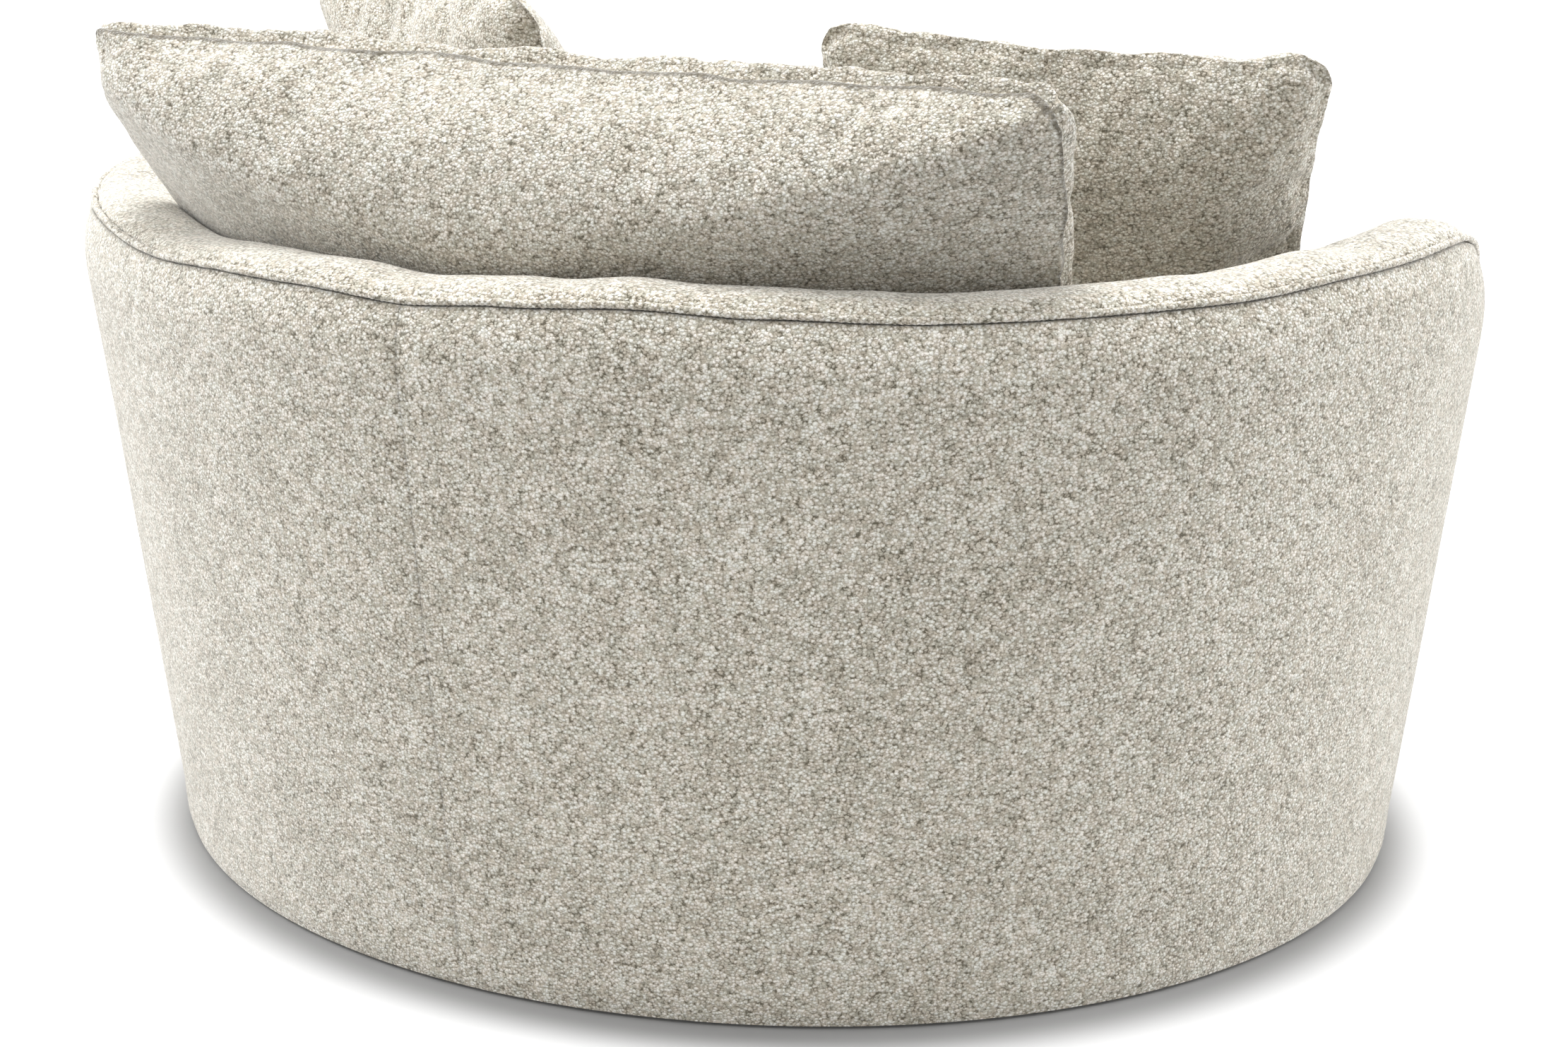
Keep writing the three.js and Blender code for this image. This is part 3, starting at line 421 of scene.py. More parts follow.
def sawn_plywood():
    """Thin plies in alternate tones, with long grain."""
    tree, given, out = new_group(
        "sawn_plywood",
        (("Pale Colour", "NodeSocketColor", (0.56, 0.38, 0.20, 1)),
         ("Dark Colour", "NodeSocketColor", (0.30, 0.17, 0.08, 1))))
    spot = add(tree, "ShaderNodeTexCoord").outputs["Object"]
    long = add(tree, "ShaderNodeMapping", sockets=(("Vector", spot), ("Scale", (6.0, 60.0, 60.0))))
    grain = noise_on(tree, long.outputs[0], 3.0, 5.0, 0.6).outputs[0]
    plies = add(tree, "ShaderNodeTexWave", wave_type="BANDS", bands_direction="Z",
                sockets=(("Vector", spot), ("Scale", 110.0), ("Distortion", 0.6))).outputs["Fac"]
    tone = mixed(tree, ranged(tree, grain, 0.35, 0.7), given.outputs["Pale Colour"],
                 given.outputs["Dark Colour"])
    edge = mixed(tree, ranged(tree, plies, 0.45, 0.6, 0.0, 0.35), tone, given.outputs["Dark Colour"])
    tree.links.new(edge, out.inputs["Colour"])
    tree.links.new(grain, out.inputs["Height"])
    tree.links.new(ranged(tree, grain, 0, 1, 0.6, 0.8), out.inputs["Roughness"])
    return tree


def finish_from(group, name, values, bump, depth, shader=()):
    """A material: one node group for colour, roughness and bump, and plain values on the shader."""
    material = bpy.data.materials.new(name)
    material.use_nodes = True
    tree = material.node_tree
    surface = tree.nodes["Principled BSDF"]
    effect = tree.nodes.new("ShaderNodeGroup")
    effect.node_tree = group
    for label, value in values.items():
        effect.inputs[label].default_value = value
    relief = add(tree, "ShaderNodeBump", sockets=(("Strength", bump), ("Distance", depth),
                                                  ("Height", effect.outputs["Height"])))
    tree.links.new(effect.outputs["Colour"], surface.inputs["Base Color"])
    tree.links.new(effect.outputs["Roughness"], surface.inputs["Roughness"])
    tree.links.new(relief.outputs[0], surface.inputs["Normal"])
    for label, value in shader:
        surface.inputs[label].default_value = value
    return material


BOUCLE = looped_boucle()
WORN = worn_surface()
PLY = sawn_plywood()

# Boucle colours: loop crowns, yarn, and the painted shade in the gaps between loops
LOOP_COLOUR = (0.97, 0.942, 0.895)
YARN_COLOUR = (0.56, 0.515, 0.435)
GAP_SHADE_COLOUR = (0.13, 0.115, 0.084)
LOOPS_PER_METRE = 345.0


def boucle_cloth(name, painted_shade_factor):
    """The boucle of one kind of piece, the same cloth on each, with its colours scaled by a factor, below 1
    as painted shade.
    """
    def with_painted_shade(colour):
        return tuple(part * painted_shade_factor for part in colour) + (1,)
    return finish_from(BOUCLE, name, {
        "Loop Colour": with_painted_shade(LOOP_COLOUR), "Yarn Colour": with_painted_shade(YARN_COLOUR),
        "Gap Shade Colour": with_painted_shade(GAP_SHADE_COLOUR), "Loops Per Metre": LOOPS_PER_METRE,
    }, bump=0.85, depth=0.0016, shader=(("Sheen Weight", 0.60), ("Sheen Roughness", 0.42),
                                        ("Specular IOR Level", 0.15)))


def worn_finish(name, colour, scuff, grain, roughness, bump, depth, shader=()):
    """A plain finish with small scuffs in a second colour, and so many grains to the metre."""
    return finish_from(WORN, name, {
        "Colour": colour + (1,), "Scuff Colour": scuff + (1,), "Grain Per Metre": grain,
        "Base Roughness": roughness}, bump, depth, shader)


TUB_CLOTH = boucle_cloth("boucle_on_tub", painted_shade_factor=1.0)
SEAT_CLOTH = boucle_cloth("boucle_on_seat", painted_shade_factor=1.0)
# Same boucle on every piece; the back and scatter cushions are darkened only as painted shade
BACK_CLOTH = boucle_cloth("boucle_on_back_cushion", painted_shade_factor=0.895)
SCATTER_CLOTH = boucle_cloth("boucle_on_scatter", painted_shade_factor=0.91)
METAL = (("Metallic", 1.0),)
FOAM = worn_finish("upholstery_foam", (0.80, 0.72, 0.46), (0.70, 0.60, 0.34), 900.0, 0.85, 0.6, 0.0008)
LINING = worn_finish("spun_lining", (0.018, 0.018, 0.02), (0.05, 0.05, 0.055), 1400.0, 0.85, 0.5, 0.0004)
LINER_BOARD = worn_finish("liner_board", (0.27, 0.18, 0.10), (0.38, 0.28, 0.17), 500.0, 0.8, 0.3, 0.0003)
PLYWOOD = finish_from(PLY, "birch_plywood", {}, 0.3, 0.0004)
BLACK_STEEL = worn_finish("black_powder_coat", (0.012, 0.012, 0.013), (0.06, 0.06, 0.06), 1200.0, 0.42,
                          0.25, 0.0002)
ZINC_STEEL = worn_finish("zinc_plate", (0.46, 0.47, 0.48), (0.62, 0.62, 0.60), 700.0, 0.3, 0.15, 0.0002,
                         METAL)
SPRING_STEEL = worn_finish("spring_steel", (0.10, 0.10, 0.105), (0.26, 0.25, 0.24), 900.0, 0.34,
                           0.15, 0.0002, METAL)
NYLON = worn_finish("black_nylon", (0.014, 0.014, 0.015), (0.05, 0.05, 0.05), 1500.0, 0.5, 0.2, 0.0001)

NODE_FINISHES = {"plywood": PLYWOOD, "liner_board": LINER_BOARD, "black_steel": BLACK_STEEL,
                 "zinc_steel": ZINC_STEEL, "spring_steel": SPRING_STEEL, "glide_plastic": NYLON,
                 "foam": FOAM, "lining": LINING, "boucle_fabric": TUB_CLOTH, "seat_boucle": SEAT_CLOTH,
                 "back_boucle": BACK_CLOTH, "scatter_boucle": SCATTER_CLOTH}


def finish_cad_nodes():
    """Gives every CAD node that stays in sight the finish of its slot."""
    for part in frame["record"]["subparts"]:
        node = frame["nodes"][part["node"]]
        node = node if isinstance(node, bpy.types.Object) else bpy.data.objects[part["node"]]
        for place in node.material_slots:
            place.material = NODE_FINISHES[part["material_slot"]]


# Covers of the tub. Their hem all but touches the floor.
PANEL_ANGLE = ARM_END_ANGLE + 0.28
CENTRE_SEAM_ANGLE = 0.012
HEM_DEPTH = 0.026
HEM_HEIGHT = 0.0014


def seam_shade(distance, reach):
    """How deep in a seam a point lies, from 1 on it to 0 a few millimetres away; used for seams' dents and
    their painted shade.
    """
    return math.exp(-(distance / reach) ** 2)


def hem_line():
    """Section of a cover's lower edge, turned under, as (inset, height) points."""
    return [(HEM_DEPTH, SKIRT_GAP + 0.0004), (0.0150, SKIRT_GAP - 0.0030),
            (0.0100, HEM_HEIGHT + 0.0012), (0.0050, HEM_HEIGHT), (0.0014, HEM_HEIGHT + 0.0016),
            (0, HEM_HEIGHT + 0.0075)]


def cover_line(angle):
    """Section of the outer cover: turned under at the floor, straight up, over the shoulder to the seam."""
    rim = rim_at(angle)
    straight = [(0, SKIRT_GAP + (rim - SHOULDER_HEIGHT - SKIRT_GAP) * share)
                for share in (0.06, 0.25, 0.5, 0.75, 0.95, 1)]
    return hem_line() + straight + [
        (0.0008, rim - 0.046), (0.0032, rim - 0.032), (0.0078, rim - 0.0175), (0.0128, rim - 0.0070),
        (0.0172, rim - 0.0012), (0.0204, rim - 0.0016)]


def wall_sheet(name, start, end, columns, rows, line_at, offset=None):
    """A sheet that follows the wall from one angle to another; offset gives each point a small move and its
    painted seam shade.
    """
    lines = {}

    def place(u, v):
        column = round(u * columns)
        angle = start + (end - start) * u
        if column not in lines:
            lines[column] = line_through(line_at(angle), rows + 1)
        inset, z = lines[column][round(v * rows)]
        push, depth = offset(angle, v, inset, z) if offset else (0, 0)
        return on_wall(angle, inset + push, z), depth

    return laid_grid(name, columns, rows, place)


def wall_block(name, start, end, columns, rows, line_at):
    """A solid block that follows the wall, with line_at(angle) as its whole section."""
    sections = {}

    def place(u, v):
        column = round(u * columns)
        angle = start + (end - start) * u
        if column not in sections:
            line = list(line_at(angle))
            sections[column] = line_through(line + [line[0]], rows + 1, curved=False)
        inset, z = sections[column][round(v * rows) % rows]
        return on_wall(angle, inset, z), 0.0
    return ends_filled(laid_grid(name, columns, rows, place, round_v=True))


def away_from_axis(centre):
    return Vector((centre.x, centre.y, 0))


def towards_axis(centre):
    return Vector((-centre.x, -centre.y, 0))


def upwards(centre):
    return Vector((0, 0, 1))


def made_cover(sheet, name, outwards, thickness=COVER_THICKNESS, angle=50):
    """Makes a sheet the named piece of the tub's cover, of cloth with some thickness."""
    facing_out(sheet, outwards)
    thickened(sheet, thickness)
    dress(smoothed(sheet, angle), TUB_CLOTH, (name,))


def make_outer_covers():
    """Two halves, sewn together up the centre of the back."""
    for name, start, end in (("outer_cover_left", CENTRE_SEAM_ANGLE, ARM_END_ANGLE),
                             ("outer_cover_right", -ARM_END_ANGLE, -CENTRE_SEAM_ANGLE)):
        def offset(angle, v, inset, z):
            arc = abs(angle) * DEGREE * BASE_HALF_WIDTH
            tuck = 0.0013 * seam_shade(arc, 0.0035)
            pull = 0.0006 * undulation(angle / 6, z, 0, 0.05, 3) * seam_shade(arc, 0.03)
            slack = 0.0012 * undulation(angle * 0.011, 0, z, 0.20, 9)
            to_rim = rim_at(angle) - z
            ripple = 0.0009 * undulation(angle * 0.011, 0, z, 0.035, 21) * seam_shade(to_rim, 0.03)
            end_arc = (ARM_END_ANGLE - abs(angle)) * DEGREE * BASE_HALF_WIDTH
            # Painted shade in the centre seam, under the rim and at the arm's end, weaker on the sitter's
            # left where more light falls
            rim_seam_shade_strength = 0.85 - 0.30 * eased(((50, 0), (85, 1)), angle)
            depth = max(0.55 * seam_shade(arc, 0.0028), rim_seam_shade_strength * seam_shade(to_rim, 0.0055),
                        seam_shade(end_arc, 0.003))
            above_hem = 1 if z > SKIRT_GAP + 0.004 else 0
            return (tuck + pull + slack + ripple) * above_hem, depth
        cover = wall_sheet(name, start, end, 200, 110, cover_line, offset)
        made_cover(cover, name, away_from_axis)


# The padded band on the rim: its crown rises and dips where the padding is drawn down by the seam
CROWN_SHARES = ((0, 0.22), (0.035, 0.50), (0.15, 0.86), (0.30, 0.99), (0.46, 1.0), (0.62, 0.90),
                (0.77, 0.62), (0.89, 0.10), (0.965, -0.60), (1, -1.4))


def crown_line(angle, drop=0.0):
    """Section of the rim band's crown; drop lowers it for the pad beneath."""
    rim = rim_at(angle)
    arc = angle * DEGREE * RIM_HALF_WIDTH
    lump = 1 + 0.16 * undulation(arc, 0, 0, 0.055, 4) + 0.14 * undulation(arc, 0, 0, 0.14, 8)
    line = []
    for across, up in CROWN_SHARES:
        lean = max(0, across * 2 - 1)
        rise = CROWN_HEIGHT * up * (lump if up > 0.3 else 1)
        inset = BAND_INSET + (INSIDE_FACE - BAND_INSET) * across - drop * lean
        line.append((inset, rim + rise - drop * (1 - lean)))
    return line


def band_line(angle):
    crown = crown_line(angle)
    (first_inset, first_z), (last_inset, last_z) = crown[0], crown[-1]
    return [(first_inset, first_z - 0.0045)] + crown + [(last_inset - 0.0030, last_z - 0.0024)]


def make_rim_band():
    def offset(angle, v, inset, z):
        # Painted shade along the band's lower seam and its inside seam
        outer = seam_shade(inset - BAND_INSET, 0.0026)
        inner = seam_shade(INSIDE_FACE - inset, 0.0030) if z < rim_at(angle) - 0.010 else 0
        arc = angle * DEGREE * RIM_HALF_WIDTH
        pucker = 0.0007 * math.sin(arc / 0.0085 + 2 * undulation(arc, 0, 0, 0.03, 2))
        near = seam_shade(inset - BAND_INSET, 0.012)
        return pucker * near, max(0.3 * outer, 0.8 * inner)
    band = wall_sheet("rim_band", -ARM_END_ANGLE, ARM_END_ANGLE, 560, 44, band_line, offset)
    made_cover(band, "rim_band", upwards, angle=80)

    def pad_line(angle):
        crown = crown_line(angle, drop=0.0036)
        low = rim_at(angle) - SHOULDER_HEIGHT + 0.0309
        return [(0.0212, low), (0.0212, crown[0][1])] + crown[1:] + [(0.0994, low)]
    pad = wall_block("rim_pad", -ARM_END_ANGLE + 1, ARM_END_ANGLE - 1, 160, 34, pad_line)
    dress(smoothed(pad), FOAM, ("rim_pad",))


def tube_along(name, path, radius_at, sides, columns):
    """A tube of cloth round a cord, along path(share), with its ends closed."""
    points = [path(index / columns) for index in range(columns + 1)]
    frames = []
    for index, point in enumerate(points):
        along = (points[min(index + 1, columns)] - points[max(index - 1, 0)]).normalized()
        side = along.cross(Vector((0, 0, 1)))
        side = (side if side.length > 0.05 else along.cross(Vector((1, 0, 0)))).normalized()
        frames.append((point, side, side.cross(along)))

    def place(u, v):
        index = round(u * columns)
        point, side, up = frames[index]
        turn = 2 * math.pi * v
        radius = radius_at(index / columns, turn)
        return point + (side * math.cos(turn) + up * math.sin(turn)) * radius, 0.0

    return ends_filled(laid_grid(name, columns, sides, place, round_v=True))


def gathered(length):
    """Radius of a covered cord whose cloth is drawn into small crosswise folds."""
    def radius(share, turn):
        place = share * length
        fold = 0.00030 * math.sin(place / 0.00085 + 3 * undulation(place, 0, 0, 0.012, 5))
        return WELT_RADIUS + fold + 0.00035 * undulation(place, turn * 0.002, 0, 0.02, 7)
    return radius


def make_welts():
    """The piping under the rim band, and the piping up the end of each arm."""
    def rim_path(share):
        angle = -ARM_END_ANGLE + 2 * ARM_END_ANGLE * share
        return on_wall(angle, BAND_INSET - WELT_RADIUS - TOUCH_GAP, rim_at(angle) + WELT_RADIUS * 0.55)
    welt = tube_along("rim_welt", rim_path, gathered(3.0), 12, 1500)
    dress(smoothed(welt, 180), TUB_CLOTH, ("rim_welt",))
    steps = 240
    for name, sign in (("arm_welt_left", 1), ("arm_welt_right", -1)):
        top = rim_at(PANEL_ANGLE)
        line = line_through([(-0.0004, HEM_HEIGHT + WELT_RADIUS), (-0.0004, 0.10), (-0.0004, 0.25),
                            (-0.0004, top - SHOULDER_HEIGHT), (0.0024, top - 0.036), (0.0076, top - 0.0165),
                            (0.0164, top - 0.0005), (0.0190, top + 0.0035)], steps + 1)

        def arm_path(share):
            inset, z = line[round(share * steps)]
            return on_wall(sign * (PANEL_ANGLE + 0.05), inset, z)
        piping = tube_along(name, arm_path, gathered(0.45), 12, steps)
        dress(smoothed(piping, 180), TUB_CLOTH)


def make_inside_cover():
    def line(angle):
        top = rim_at(angle) - 1.4 * CROWN_HEIGHT
        return [(INSIDE_FACE - 0.0035, top - 0.0010), (INSIDE_FACE - 0.0004, top - 0.0050),
                (INSIDE_FACE, top - 0.013), (INSIDE_FACE, (top + DECK_HEIGHT) / 2),
                (INSIDE_FACE, DECK_HEIGHT + 0.001)]

    def offset(angle, v, inset, z):
        top = rim_at(angle) - 1.4 * CROWN_HEIGHT
        fullness = eased(((0.46, 0), (0.52, 1), (0.60, 0)), z)
        soft = 0.0008 * undulation(angle * 0.011, 0, z, 0.09, 14)
        # Painted shade under the inside cover's top seam
        return soft + 0.0020 * fullness, 0.85 * seam_shade(top - z, 0.0045)
    cover = wall_sheet("inside_cover", -ARM_END_ANGLE, ARM_END_ANGLE, 300, 60, line, offset)
    made_cover(cover, "inside_cover", towards_axis)
    outer, inner = 0.0364, 0.0990
    foam = wall_block("back_foam", -ARM_END_ANGLE + 1, ARM_END_ANGLE - 1, 120, 40, lambda angle: [
        (outer, DECK_HEIGHT + 0.001), (outer, rim_at(angle) - 0.031), (inner, rim_at(angle) - 0.031),
        (inner, DECK_HEIGHT + 0.001)])
    dress(smoothed(foam, 30), FOAM, ("back_foam",))


def panel_outline():
    """Outline of an arm's end above the front cover, as (inset, height) points round it."""
    angle = ARM_END_ANGLE
    rim = rim_at(angle)
    low = FRONT_HEIGHT + TOUCH_GAP
    outer = [(0.0005, low), (0.0005, 0.33), (0.0005, rim - SHOULDER_HEIGHT), (0.0035, rim - 0.032),
             (0.0082, rim - 0.0165), (0.0172, rim + 0.0005)]
    inner = [(INSIDE_FACE - 0.0002, 0.36), (INSIDE_FACE - 0.0002, low)]
    return line_through(outer + crown_line(angle)[1:] + inner, 120) + [
        (INSIDE_FACE * (1 - share / 16), low) for share in range(1, 16)]


def make_arm_panels():
    """The padded end of each arm, and the narrow return of cloth beside the front cover."""
    outline = panel_outline()
    count = len(outline)
    middle = (sum(p[0] for p in outline) / count, sum(p[1] for p in outline) / count)
    rings = 26
    for name, sign in (("arm_panel_left", 1), ("arm_panel_right", -1)):
        def place(u, v):
            inset, z = outline[round(u * count) % count]
            out = 1 - v
            inset = middle[0] + (inset - middle[0]) * out
            z = middle[1] + (z - middle[1]) * out
            swell = 0.0048 * (1 - out ** 6) + 0.0006 * undulation(inset, 0, z, 0.05, 31)
            angle = PANEL_ANGLE - 0.10 + swell / BASE_HALF_WIDTH / DEGREE
            # Painted shade round the arm panel's sewn edge
            return on_wall(sign * angle, inset, z), 0.9 * seam_shade(1 - out, 0.03)
        panel = laid_grid(name, count, rings, place, round_u=True)
        forwards = Vector((-sign * 0.3, -1, 0))
        made_cover(panel, name, lambda centre: forwards, thickness=COVER_THICKNESS * 0.8,
                   angle=70)


def make_front():
    start = PANEL_ANGLE + 0.12
    end = 360 - start

    def line(angle):
        top = FRONT_HEIGHT
        return hem_line() + [(0, 0.09), (0, 0.18), (0, top - 1.6 * FRONT_ROUNDING), (0.0020, top - 0.0035),
                             (FRONT_ROUNDING, top - 0.0004), (0.016, top), (0.055, top), (INSIDE_FACE, top)]

    def offset(angle, v, inset, z):
        flat = 1 if SKIRT_GAP + 0.004 < z < FRONT_HEIGHT - 0.012 else 0
        slack = 0.0012 * undulation(angle * 0.011, 0, z, 0.18, 44)
        arc = min(angle - start, end - angle) * DEGREE * BASE_HALF_WIDTH
        # Painted shade along the front cover's end seams
        return slack * flat, 0.8 * seam_shade(arc, 0.003)
    cover = wall_sheet("front_cover", start, end, 150, 70, line, offset)
    made_cover(cover, "front_cover", away_from_axis)
    pad = wall_block("front_pad", start + 1, end - 1, 60, 40, lambda angle: [
        (0.0036, DECK_HEIGHT + 0.001), (0.0036, 0.2745), (0.0075, 0.2800), (0.016, 0.2812),
        (0.1015, 0.2812), (0.1015, DECK_HEIGHT + 0.001)])
    dress(smoothed(pad, 30), FOAM, ("front_pad",))


def oval_disc(name, inset, level, thickness, hole, sag, material):
    """A thin oval disc, from a hole at its middle to the wall, that may sag between its edges."""
    def place(u, v):
        angle = 360 * u
        edge = on_wall(angle, inset, level)
        inner = hole / math.hypot(edge.x, edge.y)
        share = inner + (1 - inner) * v
        unevenness = 1 + 0.4 * undulation(edge.x * share, edge.y * share, 0, 0.12, 6)
        droop = sag * math.sin(math.pi * v) * unevenness
        return Vector((edge.x * share, edge.y * share, level - droop)), 0.0
    disc = laid_grid(name, 144, 36, place, round_u=True)
    facing_out(disc, upwards)
    thickened(disc, thickness)
    dress(smoothed(disc, 30), material, (name,))


def make_platform_cloths():
    dust_cover_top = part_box("dust_cover")[1][2]
    oval_disc("deck_pad", inset=0.1036, level=FRONT_HEIGHT - 0.0002, thickness=0.0190, hole=0.002,
              sag=0.0, material=FOAM)
    oval_disc("deck_cloth", inset=0.0370, level=DECK_HEIGHT - TOUCH_GAP, thickness=0.0011, hole=0.002,
              sag=0.0, material=LINING)
    oval_disc("dust_cover", inset=0.0455, level=dust_cover_top, thickness=0.0008, hole=0.171,
              sag=0.0022, material=LINING)


# Loose cushions
def overhang_at(x, z):
    """How far a cushion may hang out over the rim; it hangs out further at the chair's right side."""
    over = z - RIM_HEIGHT - CROWN_HEIGHT - CUSHION_GAP
    return max(0, over) * 1.3 if x > 0 else max(0, over - 0.006) * 3.0


def room_at(z, overhang=0):
    """Half width and half depth that the tub's padding leaves at a height."""
    width = half_width(min(z, RIM_HEIGHT))
    wide = width - INSIDE_FACE - CUSHION_GAP + overhang
    deep = width * DEPTH_SHARE - INSIDE_FACE - CUSHION_GAP + overhang
    return wide, deep


def pressed_into_tub(point):
    """Moves a point back inside the room, gently where it only nears the wall."""
    wide, deep = room_at(point.z, overhang_at(point.x, point.z))
    reach = math.hypot(point.x / wide, point.y / deep)
    soft = 0.03
    if reach > 1 - soft:
        held = 1 - soft * math.exp(-(reach - 1 + soft) / soft)
        point.x *= held / reach
        point.y *= held / reach
    return point


def seat_room():
    return room_at(SEAT_BOTTOM)


def seat_top_at(x, y):
    wide, deep = seat_room()
    reach = min(1, math.hypot(x / wide, y / deep))
    return SEAT_TOP - SEAT_CROWN * reach ** 2.5


def rested_on_seat(point):
    """Flattens what would sink into the seat cushion."""
    clearance = point.z - seat_top_at(point.x, point.y) - 0.5 * CUSHION_GAP
    soft = 0.012
    if clearance < soft:
        point.z += soft * math.exp((clearance - soft) / soft) - clearance
    return point


def rounded_corner(x, z, half_x, half_z, radius):
    """Moves a point of a rectangle so that the rectangle's corners become arcs."""
    past_x = abs(x) - (half_x - radius)
    past_z = abs(z) - (half_z - radius)
    if past_x > 0 and past_z > 0:
        share = max(past_x, past_z) / math.hypot(past_x, past_z)
        x = math.copysign(half_x - radius + past_x * share, x)
        z = math.copysign(half_z - radius + past_z * share, z)
    return x, z


def sewn_form(name, width, height, thickness, columns, rows, power, exponent, drawn_in, radii):
    """Two crowned panels sewn edge to edge: X across, Z up, Y through.

    Their corners are rounded by radii, on -X and +X, and the edges between them drawn in by a share.
    """
    nothing_selected()
    bpy.ops.mesh.primitive_grid_add(x_subdivisions=columns, y_subdivisions=rows, size=2,
                                    location=(0, 0, 0))
    piece = bpy.context.object
    piece.name = piece.data.name = name
    bpy.ops.object.mode_set(mode="EDIT")
    bpy.ops.mesh.select_all(action="SELECT")
    bpy.ops.mesh.duplicate()
    bpy.ops.transform.translate(value=(0, 0, 1))
    bpy.ops.object.mode_set(mode="OBJECT")
    from_side, from_top, seam_points = [], [], []
    for vertex in piece.data.vertices:
        across, up = math.sin(vertex.co.x * math.pi / 2), math.sin(vertex.co.y * math.pi / 2)
        side = 1 if vertex.co.z > 0.5 else -1
        radius = radii[1] if across > 0 else radii[0]
        x, z = rounded_corner(width / 2 * across, height / 2 * up, width / 2, height / 2, radius)
        x *= 1 - drawn_in * (1 - up * up)
        z *= 1 - drawn_in * (1 - across * across)
        full = max(0, (1 - abs(across) ** power) * (1 - abs(up) ** power)) ** exponent
        from_side.append(width / 2 * (1 - abs(across)))
        from_top.append(height / 2 * (1 - abs(up)))
        if min(from_side[-1], from_top[-1]) < 1e-6:
            full = 0
            seam_points.append(vertex.index)
        vertex.co = (x, side * thickness / 2 * full, z)
    set_attribute(piece.data, "from_side", from_side)
    set_attribute(piece.data, "from_top", from_top)
    piece.vertex_groups.new(name="sewn").add(seam_points, 1.0, "REPLACE")
    return ends_filled(piece)


def filled(piece, pressure, frames, slack, reach):
    """Fills the sewn form by cloth simulation, with its seam held and each point's move capped at reach.
    """
    start = [vertex.co.copy() for vertex in piece.data.vertices]
    filling = piece.modifiers.new("Filling", "CLOTH")
    cloth = filling.settings
    cloth.quality = 5
    cloth.mass = 0.3
    cloth.tension_stiffness = 15
    cloth.compression_stiffness = 15
    cloth.shear_stiffness = 5
    cloth.bending_stiffness = 0.4
    cloth.use_pressure = True
    cloth.uniform_pressure_force = pressure
    cloth.effector_weights.gravity = 0
    cloth.shrink_min = -slack
    cloth.vertex_group_mass = "sewn"
    cloth.pin_stiffness = 0.6
    filling.point_cache.frame_start = 1
    filling.point_cache.frame_end = frames
    for step in range(1, frames + 1):
        bpy.context.scene.frame_set(step)
    finished(piece, filling)
    bpy.context.scene.frame_set(1)
    for vertex, before in zip(piece.data.vertices, start):
        move = vertex.co - before
        if move.length > reach:
            vertex.co = before + move * (reach / move.length)
    return piece


def finely_divided(piece):
    division = piece.modifiers.new("Fine surface", "SUBSURF")
    division.levels = 1
    division.render_levels = 1
    finished(piece, division)
    return piece


def seam_drawn_in(piece, puffs, side_share, wander, gather, seam_shade_strength=1.0, weaving=0.5):
    """Swells the panels, front and back, past their seam, gathers their cloth, lets the seam wander and
    sets painted shade along it.
    """
    from_side = [item.value for item in piece.data.attributes["from_side"].data]
    from_top = [item.value for item in piece.data.attributes["from_top"].data]

    def lip(distance):
        return (1 - math.exp(-(distance / 0.0030) ** 2)) * math.exp(-(distance / 0.038) ** 2)

    def near(away, reach):
        return math.exp(-(away / reach) ** 2)
    painted_seam_shades = []
    for vertex, side, top in zip(piece.data.vertices, from_side, from_top):
        x, y, z = vertex.co
        away = math.hypot(min(side, top), y)
        puff = puffs[0] if y < 0 else puffs[1]
        fold = undulation(x, y * 0.2, z, 0.016, 3) + 0.6 * undulation(x, y * 0.2, z, 0.034, 12)
        held = math.exp(-away / 0.030) * (1 - near(away, 0.006))
        swell = puff * (1 + 0.30 * undulation(x, 0, z, 0.06, 5)) + gather * 0.8 * fold * held
        outward = swell * (1 - near(away, 0.010))
        sway = 1.7 * wander * undulation(x, 0, z, 0.052, 9) * near(away, 0.020)
        inward = -wander * (0.35 + 0.5 * undulation(x, 0, z, 0.050, 15)) * near(away, 0.014)
        weave = -wander * (0.35 + weaving * undulation(x, 0, z, 0.034, 27)) * near(away, 0.012)
        to_side = outward * side_share * lip(side) + weave * near(side, 0.012)
        to_top = outward * lip(top) + inward * near(top, 0.012)
        vertex.co = (x + math.copysign(to_side, x), y + sway + math.copysign(gather, y) * fold * held,
                     z + math.copysign(to_top, z))
        # Painted shade along the seam, stronger across the top than down the sides
        strong = eased(((-0.010, 0.95), (0.010, 1.50)), side - top)
        painted_seam_shades.append(seam_shade_strength * strong * seam_shade(away, 0.0050))
    set_attribute(piece.data, "seam", painted_seam_shades)
    return piece


def placed(piece, matrix):
    """Puts a cushion in the chair and presses it on the tub and the seat."""
    for vertex in piece.data.vertices:
        vertex.co = rested_on_seat(pressed_into_tub(matrix @ vertex.co))
    return piece


def cushion_matrix(x, y, z, turn, lean, roll):
    """Where a cushion stands: its middle, and its turn, backward lean and sideways roll in degrees."""
    return (Matrix.Translation((x, y, z)) @ Matrix.Rotation(turn * DEGREE, 4, "Z")
            @ Matrix.Rotation(-lean * DEGREE, 4, "X") @ Matrix.Rotation(-roll * DEGREE, 4, "Y"))


# How far the back cushion hangs out over the rim for each metre of its height above it
LEAN_OVER_RIM = 0.72


